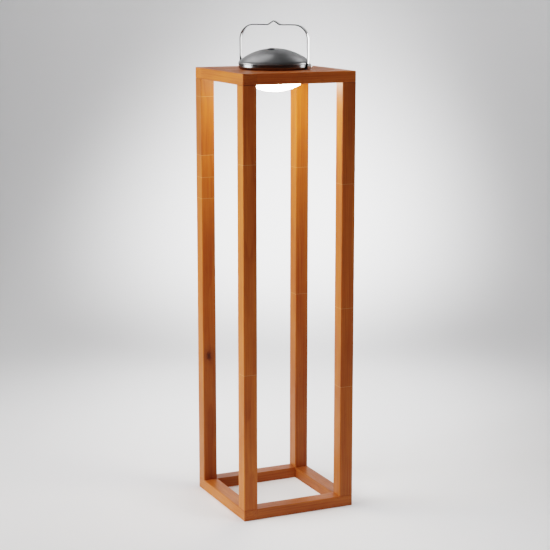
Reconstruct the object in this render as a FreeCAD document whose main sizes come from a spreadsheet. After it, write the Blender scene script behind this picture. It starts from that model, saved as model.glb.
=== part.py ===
import FreeCAD, Part

import math
import os

import Sketcher
from FreeCAD import Placement, Rotation, Vector

# An open wooden lantern frame with a portable lamp head standing in its top.
# +Z is up, the origin is the centre of the frame's foot, and sizes are in millimetres.
# The front is -Y. The head's own frame has its origin on the wood at the top, its x axis
# along the bail's pivots, and is turned about Z by head_turn.

SIZES = {
    # wooden frame
    "frame_side": 250.0,
    "frame_height": 920.0,
    "post_side": 30.0,
    "rail_height": 23.0,
    "wood_edge_radius": 1.5,
    "panel_thickness": 12.0,
    "panel_ledge": 8.0,
    "panel_clearance": 0.25,
    "hole_clearance": 1.0,
    # dowels
    "post_dowel_radius": 4.0,
    "post_dowel_length": 28.0,
    "post_dowel_spacing": 14.0,
    "post_dowel_inset": 9.5,
    "rail_dowel_radius": 3.0,
    "rail_dowel_spacing": 9.0,
    "rail_dowel_inset": 7.0,
    "dowel_wall": 5.5,
    "dowel_clearance": 0.05,
    "dowel_end_gap": 0.8,
    # lamp head, base ring
    "head_turn": -48.0,
    "sleeve_radius": 64.5,
    "sleeve_wall": 2.5,
    "sleeve_depth": 16.0,
    "ring_ledge": 9.5,
    "ring_height": 11.2,
    "rim_height": 1.6,
    "rim_wall": 1.4,
    "ring_flare_height": 4.5,
    "ring_flare_depth": 3.0,
    "ring_flare_radius": 3.5,
    "ring_edge_radius": 0.5,
    "shoulder_width": 6.0,
    "shoulder_top_depth": 4.0,
    "shoulder_thickness": 4.0,
    # dome cap
    "seam_gap": 0.3,
    "dome_rise": 27.0,
    "dome_straight": 3.8,
    "dome_shoulder_share": 0.85,
    "dome_wall": 1.8,
    "lip_wall": 1.2,
    "lip_clearance": 0.2,
    # dome screws and their bosses
    "dome_boss_radius": 3.2,
    "dome_screw_turn": 45.0,
    "dome_screw_radius": 1.5,
    "dome_screw_head_radius": 2.6,
    "dome_screw_head_height": 2.2,
    "screw_clearance": 0.1,
    "socket_share": 0.5,
    # power button
    "button_distance": 16.5,
    "button_radius": 8.0,
    "button_proud": 1.5,
    "button_crown": 0.6,
    "button_travel": 0.8,
    "button_clearance": 0.2,
    "button_lip": 1.5,
    "button_flange_thickness": 1.0,
    "button_flange_gap": 0.05,
    "button_pad_margin": 2.5,
    "button_pad_depth": 3.6,
    "button_stem_radius": 2.0,
    # switch under the button
    "switch_board_width": 12.0,
    "switch_board_margin": 4.0,
    "switch_board_thickness": 1.6,
    "switch_board_drop": 11.0,
    "switch_post_radius": 2.4,
    "switch_post_gap": 1.1,
    "switch_side": 6.2,
    "switch_height": 3.6,
    "plunger_radius": 1.7,
    "plunger_clearance": 0.1,
    "plunger_depth": 1.4,
    # bail handle and pivots
    "pivot_rise": 0.7,
    "pivot_seat_depth": 1.0,
    "pivot_radius": 1.75,
    "pivot_clearance": 0.05,
    "pivot_end_wall": 2.0,
    "pivot_head_gap": 0.3,
    "pivot_head_rise": 1.4,
    "washer_margin": 0.7,
    "washer_clearance": 0.3,
    "washer_thickness": 1.2,
    "bail_running_gap": 0.1,
    "bail_thickness": 2.0,
    "bail_width": 9.0,
    "bail_head_gap": 9.7,
    "bail_corner_radius": 30.0,
    "bail_eye_gap": 0.6,
    "notch_half_width": 13.0,
    "notch_rise": 8.0,
    "notch_radius": 3.0,
    # opal bowl
    "bowl_wall": 2.2,
    "bowl_seal_thickness": 1.0,
    "bowl_seal_width": 2.0,
    "bowl_straight": 7.5,
    "bowl_sag": 22.0,
    "bowl_edge_radius": 6.0,
    "neck_clearance": 0.2,
    "neck_wall": 2.0,
    "neck_gap": 1.0,
    # lamp plate and the LED board
    "plate_clearance": 0.4,
    "plate_thickness": 2.0,
    "plate_screw_inset": 3.2,
    "plate_screw_radius": 1.25,
    "plate_screw_head_radius": 2.2,
    "plate_screw_head_height": 1.4,
    "plate_screw_length": 5.5,
    "wire_hole_radius": 3.5,
    "wire_hole_inset": 10.0,
    "led_board_gap": 2.0,
    "led_board_thickness": 1.6,
    "led_side": 3.0,
    "led_height": 0.8,
    "led_circle_inset": 16.0,
    "led_count": 16.0,
    # cells and the control board
    "cell_radius": 9.2,
    "cell_length": 65.0,
    "cell_gap": 1.6,
    "holder_wall": 1.8,
    "holder_clearance": 0.1,
    "holder_side_height": 8.0,
    "board_length": 46.0,
    "board_gap": 1.7,
    "board_thickness": 1.6,
    "spacer_radius": 2.5,
    "spacer_inset": 3.4,
    "spacer_gap": 1.1,
    "board_screw_length": 6.0,
    # charging socket and its plug
    "port_width": 9.0,
    "port_thickness": 3.3,
    "port_shell": 0.35,
    "port_length": 7.4,
    "port_inset": 5.4,
    "port_slot_clearance": 0.1,
    "plug_flange_width": 13.0,
    "plug_flange_height": 6.4,
    "plug_flange_thickness": 1.2,
    "plug_seat_depth": 1.6,
    "plug_clearance": 0.15,
    "plug_tongue_length": 4.5,
    # one overrun for every cut that runs out of a face
    "overrun": 5.0,
}


class Length:
    """A size or a place: its value now, and the expression that keeps it bound to the sheet."""

    def __init__(self, value, text):
        self.value = value
        self.text = text

    def _with(self, other, sign, work):
        if not isinstance(other, Length):
            other = Length(other, str(other))
        return Length(work(self.value, other.value), f"({self.text} {sign} {other.text})")

    def __add__(self, other):
        return self._with(other, "+", lambda a, b: a + b)

    def __sub__(self, other):
        return self._with(other, "-", lambda a, b: a - b)

    def __mul__(self, other):
        return self._with(other, "*", lambda a, b: a * b)

    def __truediv__(self, other):
        return self._with(other, "/", lambda a, b: a / b)

    def __neg__(self):
        return self * -1

    def root(self):
        """The square root."""
        return Length(math.sqrt(self.value), f"sqrt({self.text})")


class Sheet:
    """The spreadsheet of driving sizes, with each alias as an attribute."""

    def __init__(self, document, sizes):
        cells = document.addObject("Spreadsheet::Sheet", "Sizes")
        for row, (name, value) in enumerate(sizes.items(), start=1):
            cells.set(f"A{row}", name)
            cells.set(f"B{row}", str(value))
            cells.setAlias(f"B{row}", name)
            setattr(self, name, Length(value, f"Sizes.{name}"))
        document.recompute()


doc = FreeCAD.newDocument("floor_lamp")
S = Sheet(doc, SIZES)
ZERO = Length(0.0, "0")
parts = []

# places that several pieces share
HALF = S.frame_side / 2
INNER = HALF - S.post_side
RAIL_DOWEL_LENGTH = (S.post_side - S.post_dowel_inset - S.post_dowel_radius - S.dowel_wall) * 2
HEAD_RADIUS = S.sleeve_radius + S.ring_ledge
SLEEVE_INNER = S.sleeve_radius - S.sleeve_wall
RING_FOOT = HEAD_RADIUS - S.ring_flare_depth
RING_FLOOR = S.ring_height - S.rim_height
SHOULDER_INNER = SLEEVE_INNER - S.shoulder_width
SHOULDER_FOOT = -S.shoulder_top_depth - S.shoulder_thickness
SEAM = S.ring_height + S.seam_gap
DOME_EDGE = SEAM + S.dome_straight
DOME_SPHERE = (HEAD_RADIUS * HEAD_RADIUS + S.dome_rise * S.dome_rise) / (S.dome_rise * 2)
DOME_CENTRE = DOME_EDGE + S.dome_rise - DOME_SPHERE
DOME_SCREW_CIRCLE = (S.sleeve_radius + RING_FOOT) / 2
LIP_OUTER = HEAD_RADIUS - S.rim_wall - S.lip_clearance
PLATE_TOP = S.plate_thickness - S.shoulder_top_depth
PLATE_SCREW_CIRCLE = SLEEVE_INNER - S.plate_screw_inset
LED_BOARD_RADIUS = SHOULDER_INNER - S.led_board_gap
BUTTON_FLANGE = S.button_radius + S.button_lip
SWITCH_POST = BUTTON_FLANGE + S.switch_post_radius + S.switch_post_gap
PIVOT_HEIGHT = S.ring_height / 2 + S.pivot_rise
PIVOT_SEAT = HEAD_RADIUS - S.pivot_seat_depth
PIVOT_DEPTH = PIVOT_SEAT - SLEEVE_INNER - S.pivot_end_wall
WASHER_RADIUS = S.ring_height - PIVOT_HEIGHT - S.washer_margin
BAIL_INNER = PIVOT_SEAT + S.washer_thickness + S.bail_running_gap
BAIL_OUTER = BAIL_INNER + S.bail_thickness
HOLDER_WIDTH = (S.cell_radius * 2 + S.holder_clearance + S.holder_wall) * 2 + S.cell_gap
BOARD_WIDTH = HOLDER_WIDTH + (S.spacer_inset * 2 + S.spacer_gap) * 2
SPACER_HEIGHT = S.holder_wall + S.holder_clearance + S.cell_radius * 2 + S.board_gap
PORT_HEIGHT = RING_FLOOR / 2
PORT_FACE = HEAD_RADIUS - S.port_inset
PLUG_SEAT = HEAD_RADIUS - S.plug_seat_depth
CORNER_NAMES = ("front_right", "back_right", "back_left", "front_left")
SIDE_NAMES = ("front", "right", "back", "left")
QUARTERS = range(len(CORNER_NAMES))


def bind(thing, name, length):
    """Tie a property to the sheet."""
    thing.setExpression(name, length.text)


def keep(piece, label):
    """Name a finished sub-part and note it for export."""
    piece.Label = label
    parts.append(piece)
    return piece


def new_body(label):
    """An empty body that becomes the named sub-part."""
    return keep(doc.addObject("PartDesign::Body", label), label)


def on_frame(body, quarter, level):
    """Turn a corner piece round the frame by quarter turns and lift it to its level."""
    body.Placement = Placement(Vector(0, 0, level.value), Rotation(Vector(0, 0, 1), 90 * quarter))
    bind(body, "Placement.Base.z", level)


def on_head(piece):
    """Put a piece that was made in the head's own frame on top of the wood."""
    turn = Rotation(Vector(0, 0, 1), S.head_turn.value)
    own = piece.Placement
    piece.Placement = Placement(Vector(0, 0, S.frame_height.value), turn) * own


def sketch_on(body, role, name, offset=ZERO):
    """A sketch on one of the body's own origin planes, moved along the plane's normal."""
    sketch = body.newObject("Sketcher::SketchObject", name)
    plane = next(item for item in body.Origin.OriginFeatures if item.Role == role)
    sketch.AttachmentSupport = [(plane, "")]
    sketch.MapMode = "FlatFace"
    sketch.AttachmentOffset = Placement(Vector(0, 0, offset.value), Rotation())
    bind(sketch, "AttachmentOffset.Base.z", offset)
    return sketch


def pin_point(sketch, geometry, end, x, y):
    """Hold a sketch point at a place given from the sketch's origin."""
    for kind, length, axis in (("DistanceX", x, -2), ("DistanceY", y, -1)):
        if length is ZERO:
            sketch.addConstraint(Sketcher.Constraint("PointOnObject", geometry, end, axis))
        else:
            index = sketch.addConstraint(Sketcher.Constraint(kind, -1, 1, geometry, end, length.value))
            bind(sketch, f"Constraints[{index}]", length)


def outline(sketch, corners, arcs=()):
    """A closed outline through the corners. The sides numbered in arcs are centred on the y axis."""
    first = sketch.GeometryCount
    count = len(corners)
    points = [Vector(x.value, y.value, 0) for x, y in corners]
    for side in range(count):
        start, end = points[side], points[(side + 1) % count]
        if side in arcs:
            sketch.addGeometry(axis_arc(start, end), False)
        else:
            sketch.addGeometry(Part.LineSegment(start, end), False)
    ends = [arc_ends(sketch, first + side, points[side]) for side in range(count)]
    for side in range(count):
        after = (side + 1) % count
        joint = Sketcher.Constraint("Coincident", first + side, ends[side][1], first + after, ends[after][0])
        sketch.addConstraint(joint)
        if side in arcs:
            sketch.addConstraint(Sketcher.Constraint("PointOnObject", first + side, 3, -2))
    for side, (x, y) in enumerate(corners):
        pin_point(sketch, first + side, ends[side][0], x, y)


def axis_arc(start, end):
    """The circle arc from start to end whose centre lies on the y axis."""
    centre_y = (end.Length ** 2 - start.Length ** 2) / (2 * (end.y - start.y))
    centre = Vector(0, centre_y, 0)
    circle = Part.Circle(centre, Vector(0, 0, 1), (start - centre).Length)
    angles = [math.atan2(point.y - centre_y, point.x) for point in (start, end)]
    return Part.ArcOfCircle(circle, min(angles), max(angles))


def arc_ends(sketch, geometry, start):
    """The numbers of a side's start and end: 1 and 2, or 2 and 1 where the side runs backwards."""
    side = sketch.Geometry[geometry]
    if (side.StartPoint - start).Length < (side.EndPoint - start).Length:
        return 1, 2
    return 2, 1


def rectangle(sketch, x0, x1, y0, y1):
    """A rectangle between two x and two y places."""
    outline(sketch, [(x0, y0), (x1, y0), (x1, y1), (x0, y1)])


def circles(sketch, centres, radius):
    """A circle of one radius at each centre."""
    for x, y in centres:
        circle = Part.Circle(Vector(x.value, y.value, 0), Vector(0, 0, 1), radius.value)
        index = sketch.addGeometry(circle, False)
        pin_point(sketch, index, 3, x, y)
        held = sketch.addConstraint(Sketcher.Constraint("Radius", index, radius.value))
        bind(sketch, f"Constraints[{held}]", radius)


def pad(body, sketch, name, length):
    """Pad a sketch along its normal."""
    feature = body.newObject("PartDesign::Pad", name)
    feature.Profile = sketch
    bind(feature, "Length", length)
    return feature


def pocket(body, sketch, name, depth, along_normal=False):
    """Cut a sketch into the body, against its normal or along it, and check that it cuts."""
    doc.recompute()
    before = body.Shape.Volume
    feature = body.newObject("PartDesign::Pocket", name)
    feature.Profile = sketch
    feature.Reversed = along_normal
    bind(feature, "Length", depth)
    doc.recompute()
    if not body.Shape.Volume < before:
        raise RuntimeError(f"{body.Label}: {name} cuts nothing")
    return feature


def revolve(body, sketch, name="Turned"):
    """Turn a profile round the vertical axis."""
    feature = body.newObject("PartDesign::Revolution", name)
    feature.Profile = sketch
    feature.ReferenceAxis = (sketch, ["V_Axis"])
    feature.Angle = 360
    return feature


def round_edges(body, name, radius, wanted):
    """Round the edges of the body's last feature that the test picks."""
    doc.recompute()
    base = body.Tip
    names = [f"Edge{i}" for i, edge in enumerate(base.Shape.Edges, start=1) if wanted(edge)]
    feature = body.newObject("PartDesign::Fillet", name)
    feature.Base = (base, names)
    bind(feature, "Radius", radius)
    doc.recompute()
    return feature


def at(value, length):
    """Whether a coordinate lies at a place, within rounding."""
    return abs(value - length.value) < 1e-6


def middle(edge):
    """The point half way along an edge."""
    return edge.valueAt((edge.FirstParameter + edge.LastParameter) / 2)


def ring_at(edge, radius, height):
    """Whether an edge is the circle of a turned piece at this radius and height."""
    point = middle(edge)
    return at(math.hypot(point.x, point.y), radius) and at(point.z, height)


def primitive(kind, name, **lengths):
    """A Part primitive with its sizes bound to the sheet."""
    thing = doc.addObject(f"Part::{kind}", name)
    for key, length in lengths.items():
        bind(thing, key, length)
    return thing


def place(thing, x=ZERO, y=ZERO, z=ZERO, rotation=None):
    """Place a primitive, with its base point bound to the sheet."""
    thing.Placement = Placement(Vector(x.value, y.value, z.value), rotation or Rotation())
    for axis, length in (("x", x), ("y", y), ("z", z)):
        bind(thing, f"Placement.Base.{axis}", length)
    return thing


def group(label, solids):
    """Identical solids kept together as one named sub-part."""
    compound = doc.addObject("Part::Compound", label)
    compound.Links = solids
    return keep(compound, label)


def fuse(name, shapes):
    """One solid out of several."""
    fusion = doc.addObject("Part::MultiFuse", name)
    fusion.Shapes = shapes
    return fusion


def cut(name, base, tool):
    """A base less a tool."""
    result = doc.addObject("Part::Cut", name)
    result.Base = base
    result.Tool = tool
    return result


def turned(x, y, quarter):
    """A place turned round the frame by quarter turns."""
    for _ in range(quarter):
        x, y = -y, x
    return x, y


def around(radius, count, start_degrees=0.0):
    """Places spread evenly on a circle about the axis."""
    for step in range(count):
        angle = start_degrees + 360.0 * step / count
        yield (Length(radius.value * math.cos(math.radians(angle)), f"({radius.text} * cos({angle} deg))"),
               Length(radius.value * math.sin(math.radians(angle)), f"({radius.text} * sin({angle} deg))"))


# wooden frame

def post_dowel_places():
    """The two dowels that join the front right post to the rail under or over it."""
    middle_x = HALF - S.post_side / 2
    y = S.post_dowel_inset - HALF
    return [(middle_x - S.post_dowel_spacing / 2, y), (middle_x + S.post_dowel_spacing / 2, y)]


def rail_dowel_offsets():
    """How far the two dowels of a rail joint lie from the frame's axis, near the outer face."""
    first = HALF - S.rail_dowel_inset
    return [first, first - S.rail_dowel_spacing]


def make_post(quarter):
    """A square post between the base rails and the top rails, with dowel holes in both ends."""
    body = new_body(f"post_{CORNER_NAMES[quarter]}")
    length = S.frame_height - S.rail_height * 2
    section = sketch_on(body, "XY_Plane", "Section")
    rectangle(section, INNER, HALF, -HALF, -INNER)
    pad(body, section, "Length", length)
    round_edges(body, "LongEdges", S.wood_edge_radius,
                lambda edge: abs(edge.tangentAt(edge.FirstParameter).z) > 0.5)
    radius = S.post_dowel_radius + S.dowel_clearance
    depth = S.post_dowel_length / 2 + S.dowel_end_gap
    for name, level, upward in (("FootHoles", ZERO, True), ("HeadHoles", length, False)):
        holes = sketch_on(body, "XY_Plane", name + "Sketch", level)
        circles(holes, post_dowel_places(), radius)
        pocket(body, holes, name, depth, along_normal=upward)
    on_frame(body, quarter, S.rail_height)


def is_outer_edge(edge):
    """Whether an edge of a rail runs along the frame's outer faces, apart from its butt end."""
    point = middle(edge)
    flat = at(point.z, ZERO) or at(point.z, S.rail_height)
    front = at(point.y, -HALF)
    end = at(point.x, HALF)
    return (flat and (front or end)) or (front and end)


def make_rail(quarter, top):
    """A rail that butts against the rail on its left and carries or caps the post at its right end."""
    level_name = "top" if top else "base"
    body = new_body(f"{level_name}_rail_{SIDE_NAMES[quarter]}")
    section = sketch_on(body, "XY_Plane", "Outline")
    rectangle(section, -INNER, HALF, -HALF, -INNER)
    pad(body, section, "Height", S.rail_height)
    round_edges(body, "OuterEdges", S.wood_edge_radius, is_outer_edge)
    radius = S.rail_dowel_radius + S.dowel_clearance
    depth = RAIL_DOWEL_LENGTH / 2 + S.dowel_end_gap
    half_height = S.rail_height / 2
    end_holes = sketch_on(body, "YZ_Plane", "EndHolesSketch", -INNER)
    circles(end_holes, [(-offset, half_height) for offset in rail_dowel_offsets()], radius)
    pocket(body, end_holes, "EndHoles", depth, along_normal=True)
    side_holes = sketch_on(body, "XZ_Plane", "SideHolesSketch", INNER)
    circles(side_holes, [(offset, half_height) for offset in rail_dowel_offsets()], radius)
    pocket(body, side_holes, "SideHoles", depth, along_normal=True)
    post_holes = sketch_on(body, "XY_Plane", "PostHolesSketch", ZERO if top else S.rail_height)
    circles(post_holes, post_dowel_places(), S.post_dowel_radius + S.dowel_clearance)
    pocket(body, post_holes, "PostHoles", S.post_dowel_length / 2 + S.dowel_end_gap, along_normal=top)
    if top:
        rebate = sketch_on(body, "XY_Plane", "RebateSketch", S.rail_height)
        seat = INNER + S.panel_ledge
        rectangle(rebate, -INNER - S.overrun, seat, -seat, S.overrun - INNER)
        pocket(body, rebate, "Rebate", S.panel_thickness)
    on_frame(body, quarter, S.frame_height - S.rail_height if top else ZERO)


def make_panel():
    """The top panel, flush with the top rails in their rebate, with the lamp head's hole."""
    body = new_body("top_panel")
    edge = INNER + S.panel_ledge - S.panel_clearance
    section = sketch_on(body, "XY_Plane", "Outline")
    rectangle(section, -edge, edge, -edge, edge)
    circles(section, [(ZERO, ZERO)], S.sleeve_radius + S.hole_clearance)
    pad(body, section, "Thickness", S.panel_thickness)
    on_frame(body, 0, S.frame_height - S.panel_thickness)


def make_post_dowels(label, level):
    """Eight upright dowels, two at each post's end."""
    pins = []
    for quarter in QUARTERS:
        for x, y in post_dowel_places():
            pin = primitive("Cylinder", label + "_pin", Radius=S.post_dowel_radius,
                            Height=S.post_dowel_length)
            px, py = turned(x, y, quarter)
            pins.append(place(pin, px, py, level - S.post_dowel_length / 2))
    group(label, pins)


def make_rail_dowels(label, level):
    """Eight lying dowels, two in each corner joint between rails."""
    pins = []
    lying = Rotation(Vector(1, 0, 0), -90)
    for quarter in QUARTERS:
        for x in rail_dowel_offsets():
            pin = primitive("Cylinder", label + "_pin", Radius=S.rail_dowel_radius, Height=RAIL_DOWEL_LENGTH)
            px, py = turned(x, -INNER - RAIL_DOWEL_LENGTH / 2, quarter)
            pins.append(place(pin, px, py, level, Rotation(Vector(0, 0, 1), 90 * quarter) * lying))
    group(label, pins)


# lamp head, base ring and dome

def pivot_holes(body):
    """Cut the flat washer seats and the screw holes at both pivots."""
    seat = sketch_on(body, "YZ_Plane", "PivotSeatSketch", PIVOT_SEAT)
    circles(seat, [(ZERO, PIVOT_HEIGHT)], WASHER_RADIUS + S.washer_clearance)
    pocket(body, seat, "PivotSeat", S.overrun, along_normal=True)
    other = sketch_on(body, "YZ_Plane", "PivotSeatBackSketch", -PIVOT_SEAT)
    circles(other, [(ZERO, PIVOT_HEIGHT)], WASHER_RADIUS + S.washer_clearance)
    pocket(body, other, "PivotSeatBack", S.overrun)
    hole = sketch_on(body, "YZ_Plane", "PivotHoleSketch", PIVOT_SEAT)
    circles(hole, [(ZERO, PIVOT_HEIGHT)], S.pivot_radius + S.pivot_clearance)
    pocket(body, hole, "PivotHole", PIVOT_DEPTH)
    back = sketch_on(body, "YZ_Plane", "PivotHoleBackSketch", -PIVOT_SEAT)
    circles(back, [(ZERO, PIVOT_HEIGHT)], S.pivot_radius + S.pivot_clearance)
    pocket(body, back, "PivotHoleBack", PIVOT_DEPTH, along_normal=True)


def make_ring():
    """The cast base ring that stands on the wood, with a sleeve down through the panel."""
    body = new_body("head_base_ring")
    profile = sketch_on(body, "XZ_Plane", "Profile")
    pocket_radius = HEAD_RADIUS - S.rim_wall
    outline(profile, [
        (SLEEVE_INNER, -S.sleeve_depth),
        (S.sleeve_radius, -S.sleeve_depth),
        (S.sleeve_radius, ZERO),
        (RING_FOOT, ZERO),
        (HEAD_RADIUS, S.ring_flare_height),
        (HEAD_RADIUS, S.ring_height),
        (pocket_radius, S.ring_height),
        (pocket_radius, RING_FLOOR),
        (SLEEVE_INNER, RING_FLOOR),
        (SLEEVE_INNER, -S.shoulder_top_depth),
        (SHOULDER_INNER, -S.shoulder_top_depth),
        (SHOULDER_INNER, SHOULDER_FOOT),
        (SLEEVE_INNER, SHOULDER_FOOT),
    ])
    revolve(body, profile)
    round_edges(body, "Flare", S.ring_flare_radius,
                lambda edge: ring_at(edge, HEAD_RADIUS, S.ring_flare_height))
    round_edges(body, "TopEdge", S.ring_edge_radius, lambda edge: ring_at(edge, HEAD_RADIUS, S.ring_height))
    pivot_holes(body)
    places = list(around(DOME_SCREW_CIRCLE, 4, S.dome_screw_turn.value))
    holes = sketch_on(body, "XY_Plane", "DomeScrewSketch")
    circles(holes, places, S.dome_screw_radius + S.screw_clearance)
    pocket(body, holes, "DomeScrewHoles", S.ring_height, along_normal=True)
    sinks = sketch_on(body, "XY_Plane", "DomeScrewSinkSketch")
    circles(sinks, places, S.dome_screw_head_radius + S.screw_clearance)
    pocket(body, sinks, "DomeScrewSinks", S.dome_screw_head_height + S.seam_gap, along_normal=True)
    threads = sketch_on(body, "XY_Plane", "PlateScrewSketch", -S.shoulder_top_depth)
    circles(threads, list(around(PLATE_SCREW_CIRCLE, 4)), S.plate_screw_radius)
    pocket(body, threads, "PlateScrewHoles", S.shoulder_thickness)
    slot = sketch_on(body, "XZ_Plane", "PortSketch", -HEAD_RADIUS - S.overrun)
    half_width = S.port_width / 2 + S.port_slot_clearance
    half_thickness = S.port_thickness / 2 + S.port_slot_clearance
    rectangle(slot, -half_width, half_width, PORT_HEIGHT - half_thickness, PORT_HEIGHT + half_thickness)
    pocket(body, slot, "Port", HEAD_RADIUS + S.overrun - SLEEVE_INNER + S.overrun, along_normal=True)
    recess = sketch_on(body, "XZ_Plane", "PortRecessSketch", -HEAD_RADIUS - S.overrun)
    half_width = S.plug_flange_width / 2 + S.plug_clearance
    half_height = S.plug_flange_height / 2 + S.plug_clearance
    rectangle(recess, -half_width, half_width, PORT_HEIGHT - half_height, PORT_HEIGHT + half_height)
    pocket(body, recess, "PortRecess", HEAD_RADIUS + S.overrun - PLUG_SEAT, along_normal=True)
    on_head(body)


def dome_height(radius, wall=ZERO):
    """Height of the dome's sphere at a distance from the axis, outside or on the inner wall."""
    sphere = DOME_SPHERE - wall
    return DOME_CENTRE + (sphere * sphere - radius * radius).root()


def button_axis(depth):
    """The y and z place on the button's axis at a depth below the dome's surface, and the axis's tilt."""
    share = (DOME_SPHERE - depth) / DOME_SPHERE
    y = -S.button_distance * share
    z = DOME_CENTRE + (dome_height(S.button_distance) - DOME_CENTRE) * share
    sine = S.button_distance / DOME_SPHERE
    tilt = Length(math.degrees(math.asin(sine.value)), f"asin({sine.text})")
    return y, z, tilt


def button_frame(depth):
    """The frame on the button's axis at a depth, with z outward along the dome's normal."""
    y, z, tilt = button_axis(depth)
    return Placement(Vector(0, y.value, z.value), Rotation(Vector(1, 0, 0), tilt.value))


def tilted_sketch(body, name, depth):
    """A sketch square to the button's axis, at a depth below the dome's surface."""
    sketch = sketch_on(body, "XY_Plane", name)
    y, z, tilt = button_axis(depth)
    sketch.AttachmentOffset = button_frame(depth)
    bind(sketch, "AttachmentOffset.Base.y", y)
    bind(sketch, "AttachmentOffset.Base.z", z)
    bind(sketch, "AttachmentOffset.Rotation.Angle", tilt)
    return sketch


def make_dome():
    """The domed metal cap: a shell with a lip, four screw bosses and the button's seat."""
    body = new_body("dome_cap")
    outer = HEAD_RADIUS
    lip_inner = LIP_OUTER - S.lip_wall
    profile = sketch_on(body, "XZ_Plane", "Profile")
    outline(profile, [
        (ZERO, DOME_EDGE + S.dome_rise),
        (outer, DOME_EDGE),
        (outer, SEAM),
        (LIP_OUTER, SEAM),
        (LIP_OUTER, RING_FLOOR),
        (lip_inner, RING_FLOOR),
        (lip_inner, dome_height(lip_inner, S.dome_wall)),
        (ZERO, DOME_EDGE + S.dome_rise - S.dome_wall),
    ], arcs=(0, 6))
    revolve(body, profile)
    slope = outer / DOME_SPHERE
    shoulder = S.dome_straight * S.dome_shoulder_share * ((slope + 1) / (-slope + 1)).root()
    round_edges(body, "Shoulder", shoulder, lambda edge: ring_at(edge, outer, DOME_EDGE))
    bosses = sketch_on(body, "XY_Plane", "BossSketch", RING_FLOOR)
    places = list(around(DOME_SCREW_CIRCLE, 4, S.dome_screw_turn.value))
    circles(bosses, places, S.dome_boss_radius)
    boss_height = DOME_EDGE + S.dome_wall - RING_FLOOR
    pad(body, bosses, "Bosses", boss_height)
    threads = sketch_on(body, "XY_Plane", "BossHoleSketch", RING_FLOOR)
    circles(threads, places, S.dome_screw_radius)
    pocket(body, threads, "BossHoles", boss_height - S.dome_wall, along_normal=True)
    seat = tilted_sketch(body, "ButtonPadSketch", S.button_pad_depth)
    circles(seat, [(ZERO, ZERO)], BUTTON_FLANGE + S.button_pad_margin)
    pad(body, seat, "ButtonPad", S.button_pad_depth - S.dome_wall / 2)
    posts = tilted_sketch(body, "SwitchPostSketch", S.switch_board_drop)
    circles(posts, [(SWITCH_POST, ZERO), (-SWITCH_POST, ZERO)], S.switch_post_radius)
    pad(body, posts, "SwitchPosts", S.switch_board_drop - S.dome_wall)
    pilot = tilted_sketch(body, "SwitchPilotSketch", S.switch_board_drop)
    circles(pilot, [(SWITCH_POST, ZERO), (-SWITCH_POST, ZERO)], S.plate_screw_radius)
    pocket(body, pilot, "SwitchPilots", S.plate_screw_length, along_normal=True)
    hole = tilted_sketch(body, "ButtonHoleSketch", S.button_pad_depth + S.overrun)
    circles(hole, [(ZERO, ZERO)], S.button_radius + S.button_clearance)
    pocket(body, hole, "ButtonHole", S.button_pad_depth + S.overrun * 2, along_normal=True)
    on_head(body)


def make_dome_screws():
    """Four screws up through the base ring into the dome's bosses, with hex sockets."""
    solids = []
    length = DOME_EDGE - S.seam_gap - S.dowel_end_gap
    for x, y in around(DOME_SCREW_CIRCLE, 4, S.dome_screw_turn.value):
        shank = primitive("Cylinder", "dome_screw_shank", Radius=S.dome_screw_radius, Height=length)
        place(shank, x, y, S.seam_gap)
        head = primitive("Cylinder", "dome_screw_head", Radius=S.dome_screw_head_radius,
                         Height=S.dome_screw_head_height)
        place(head, x, y, S.seam_gap)
        socket = doc.addObject("Part::Prism", "dome_screw_socket")
        socket.Polygon = 6
        bind(socket, "Circumradius", S.dome_screw_head_radius * S.socket_share)
        bind(socket, "Height", S.dome_screw_head_height * S.socket_share + S.overrun)
        place(socket, x, y, S.seam_gap - S.overrun)
        solids.append(cut("dome_screw", fuse("dome_screw_blank", [shank, head]), socket))
    on_head(group("dome_screws", solids))


# power button and its switch

def in_button_frame(piece, depth):
    """Move a piece made upright on the origin to a depth on the button's axis, then onto the head."""
    piece.Placement = button_frame(depth)
    on_head(piece)


def stem_end():
    """Depth of the button stem's end: a full press above the top of the switch."""
    return S.switch_board_drop - S.switch_height - S.button_travel - S.plunger_clearance


def make_button():
    """The round push button with its retaining flange and stem."""
    body = new_body("power_button")
    flange_top = S.button_pad_depth + S.button_flange_gap
    profile = sketch_on(body, "XZ_Plane", "Profile")
    flange_bottom = -flange_top - S.button_flange_thickness
    outline(profile, [
        (ZERO, -stem_end()),
        (S.button_stem_radius, -stem_end()),
        (S.button_stem_radius, flange_bottom),
        (BUTTON_FLANGE, flange_bottom),
        (BUTTON_FLANGE, -flange_top),
        (S.button_radius, -flange_top),
        (S.button_radius, S.button_proud - S.button_crown),
        (ZERO, S.button_proud),
    ], arcs=(6,))
    revolve(body, profile)
    in_button_frame(body, ZERO)


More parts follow.
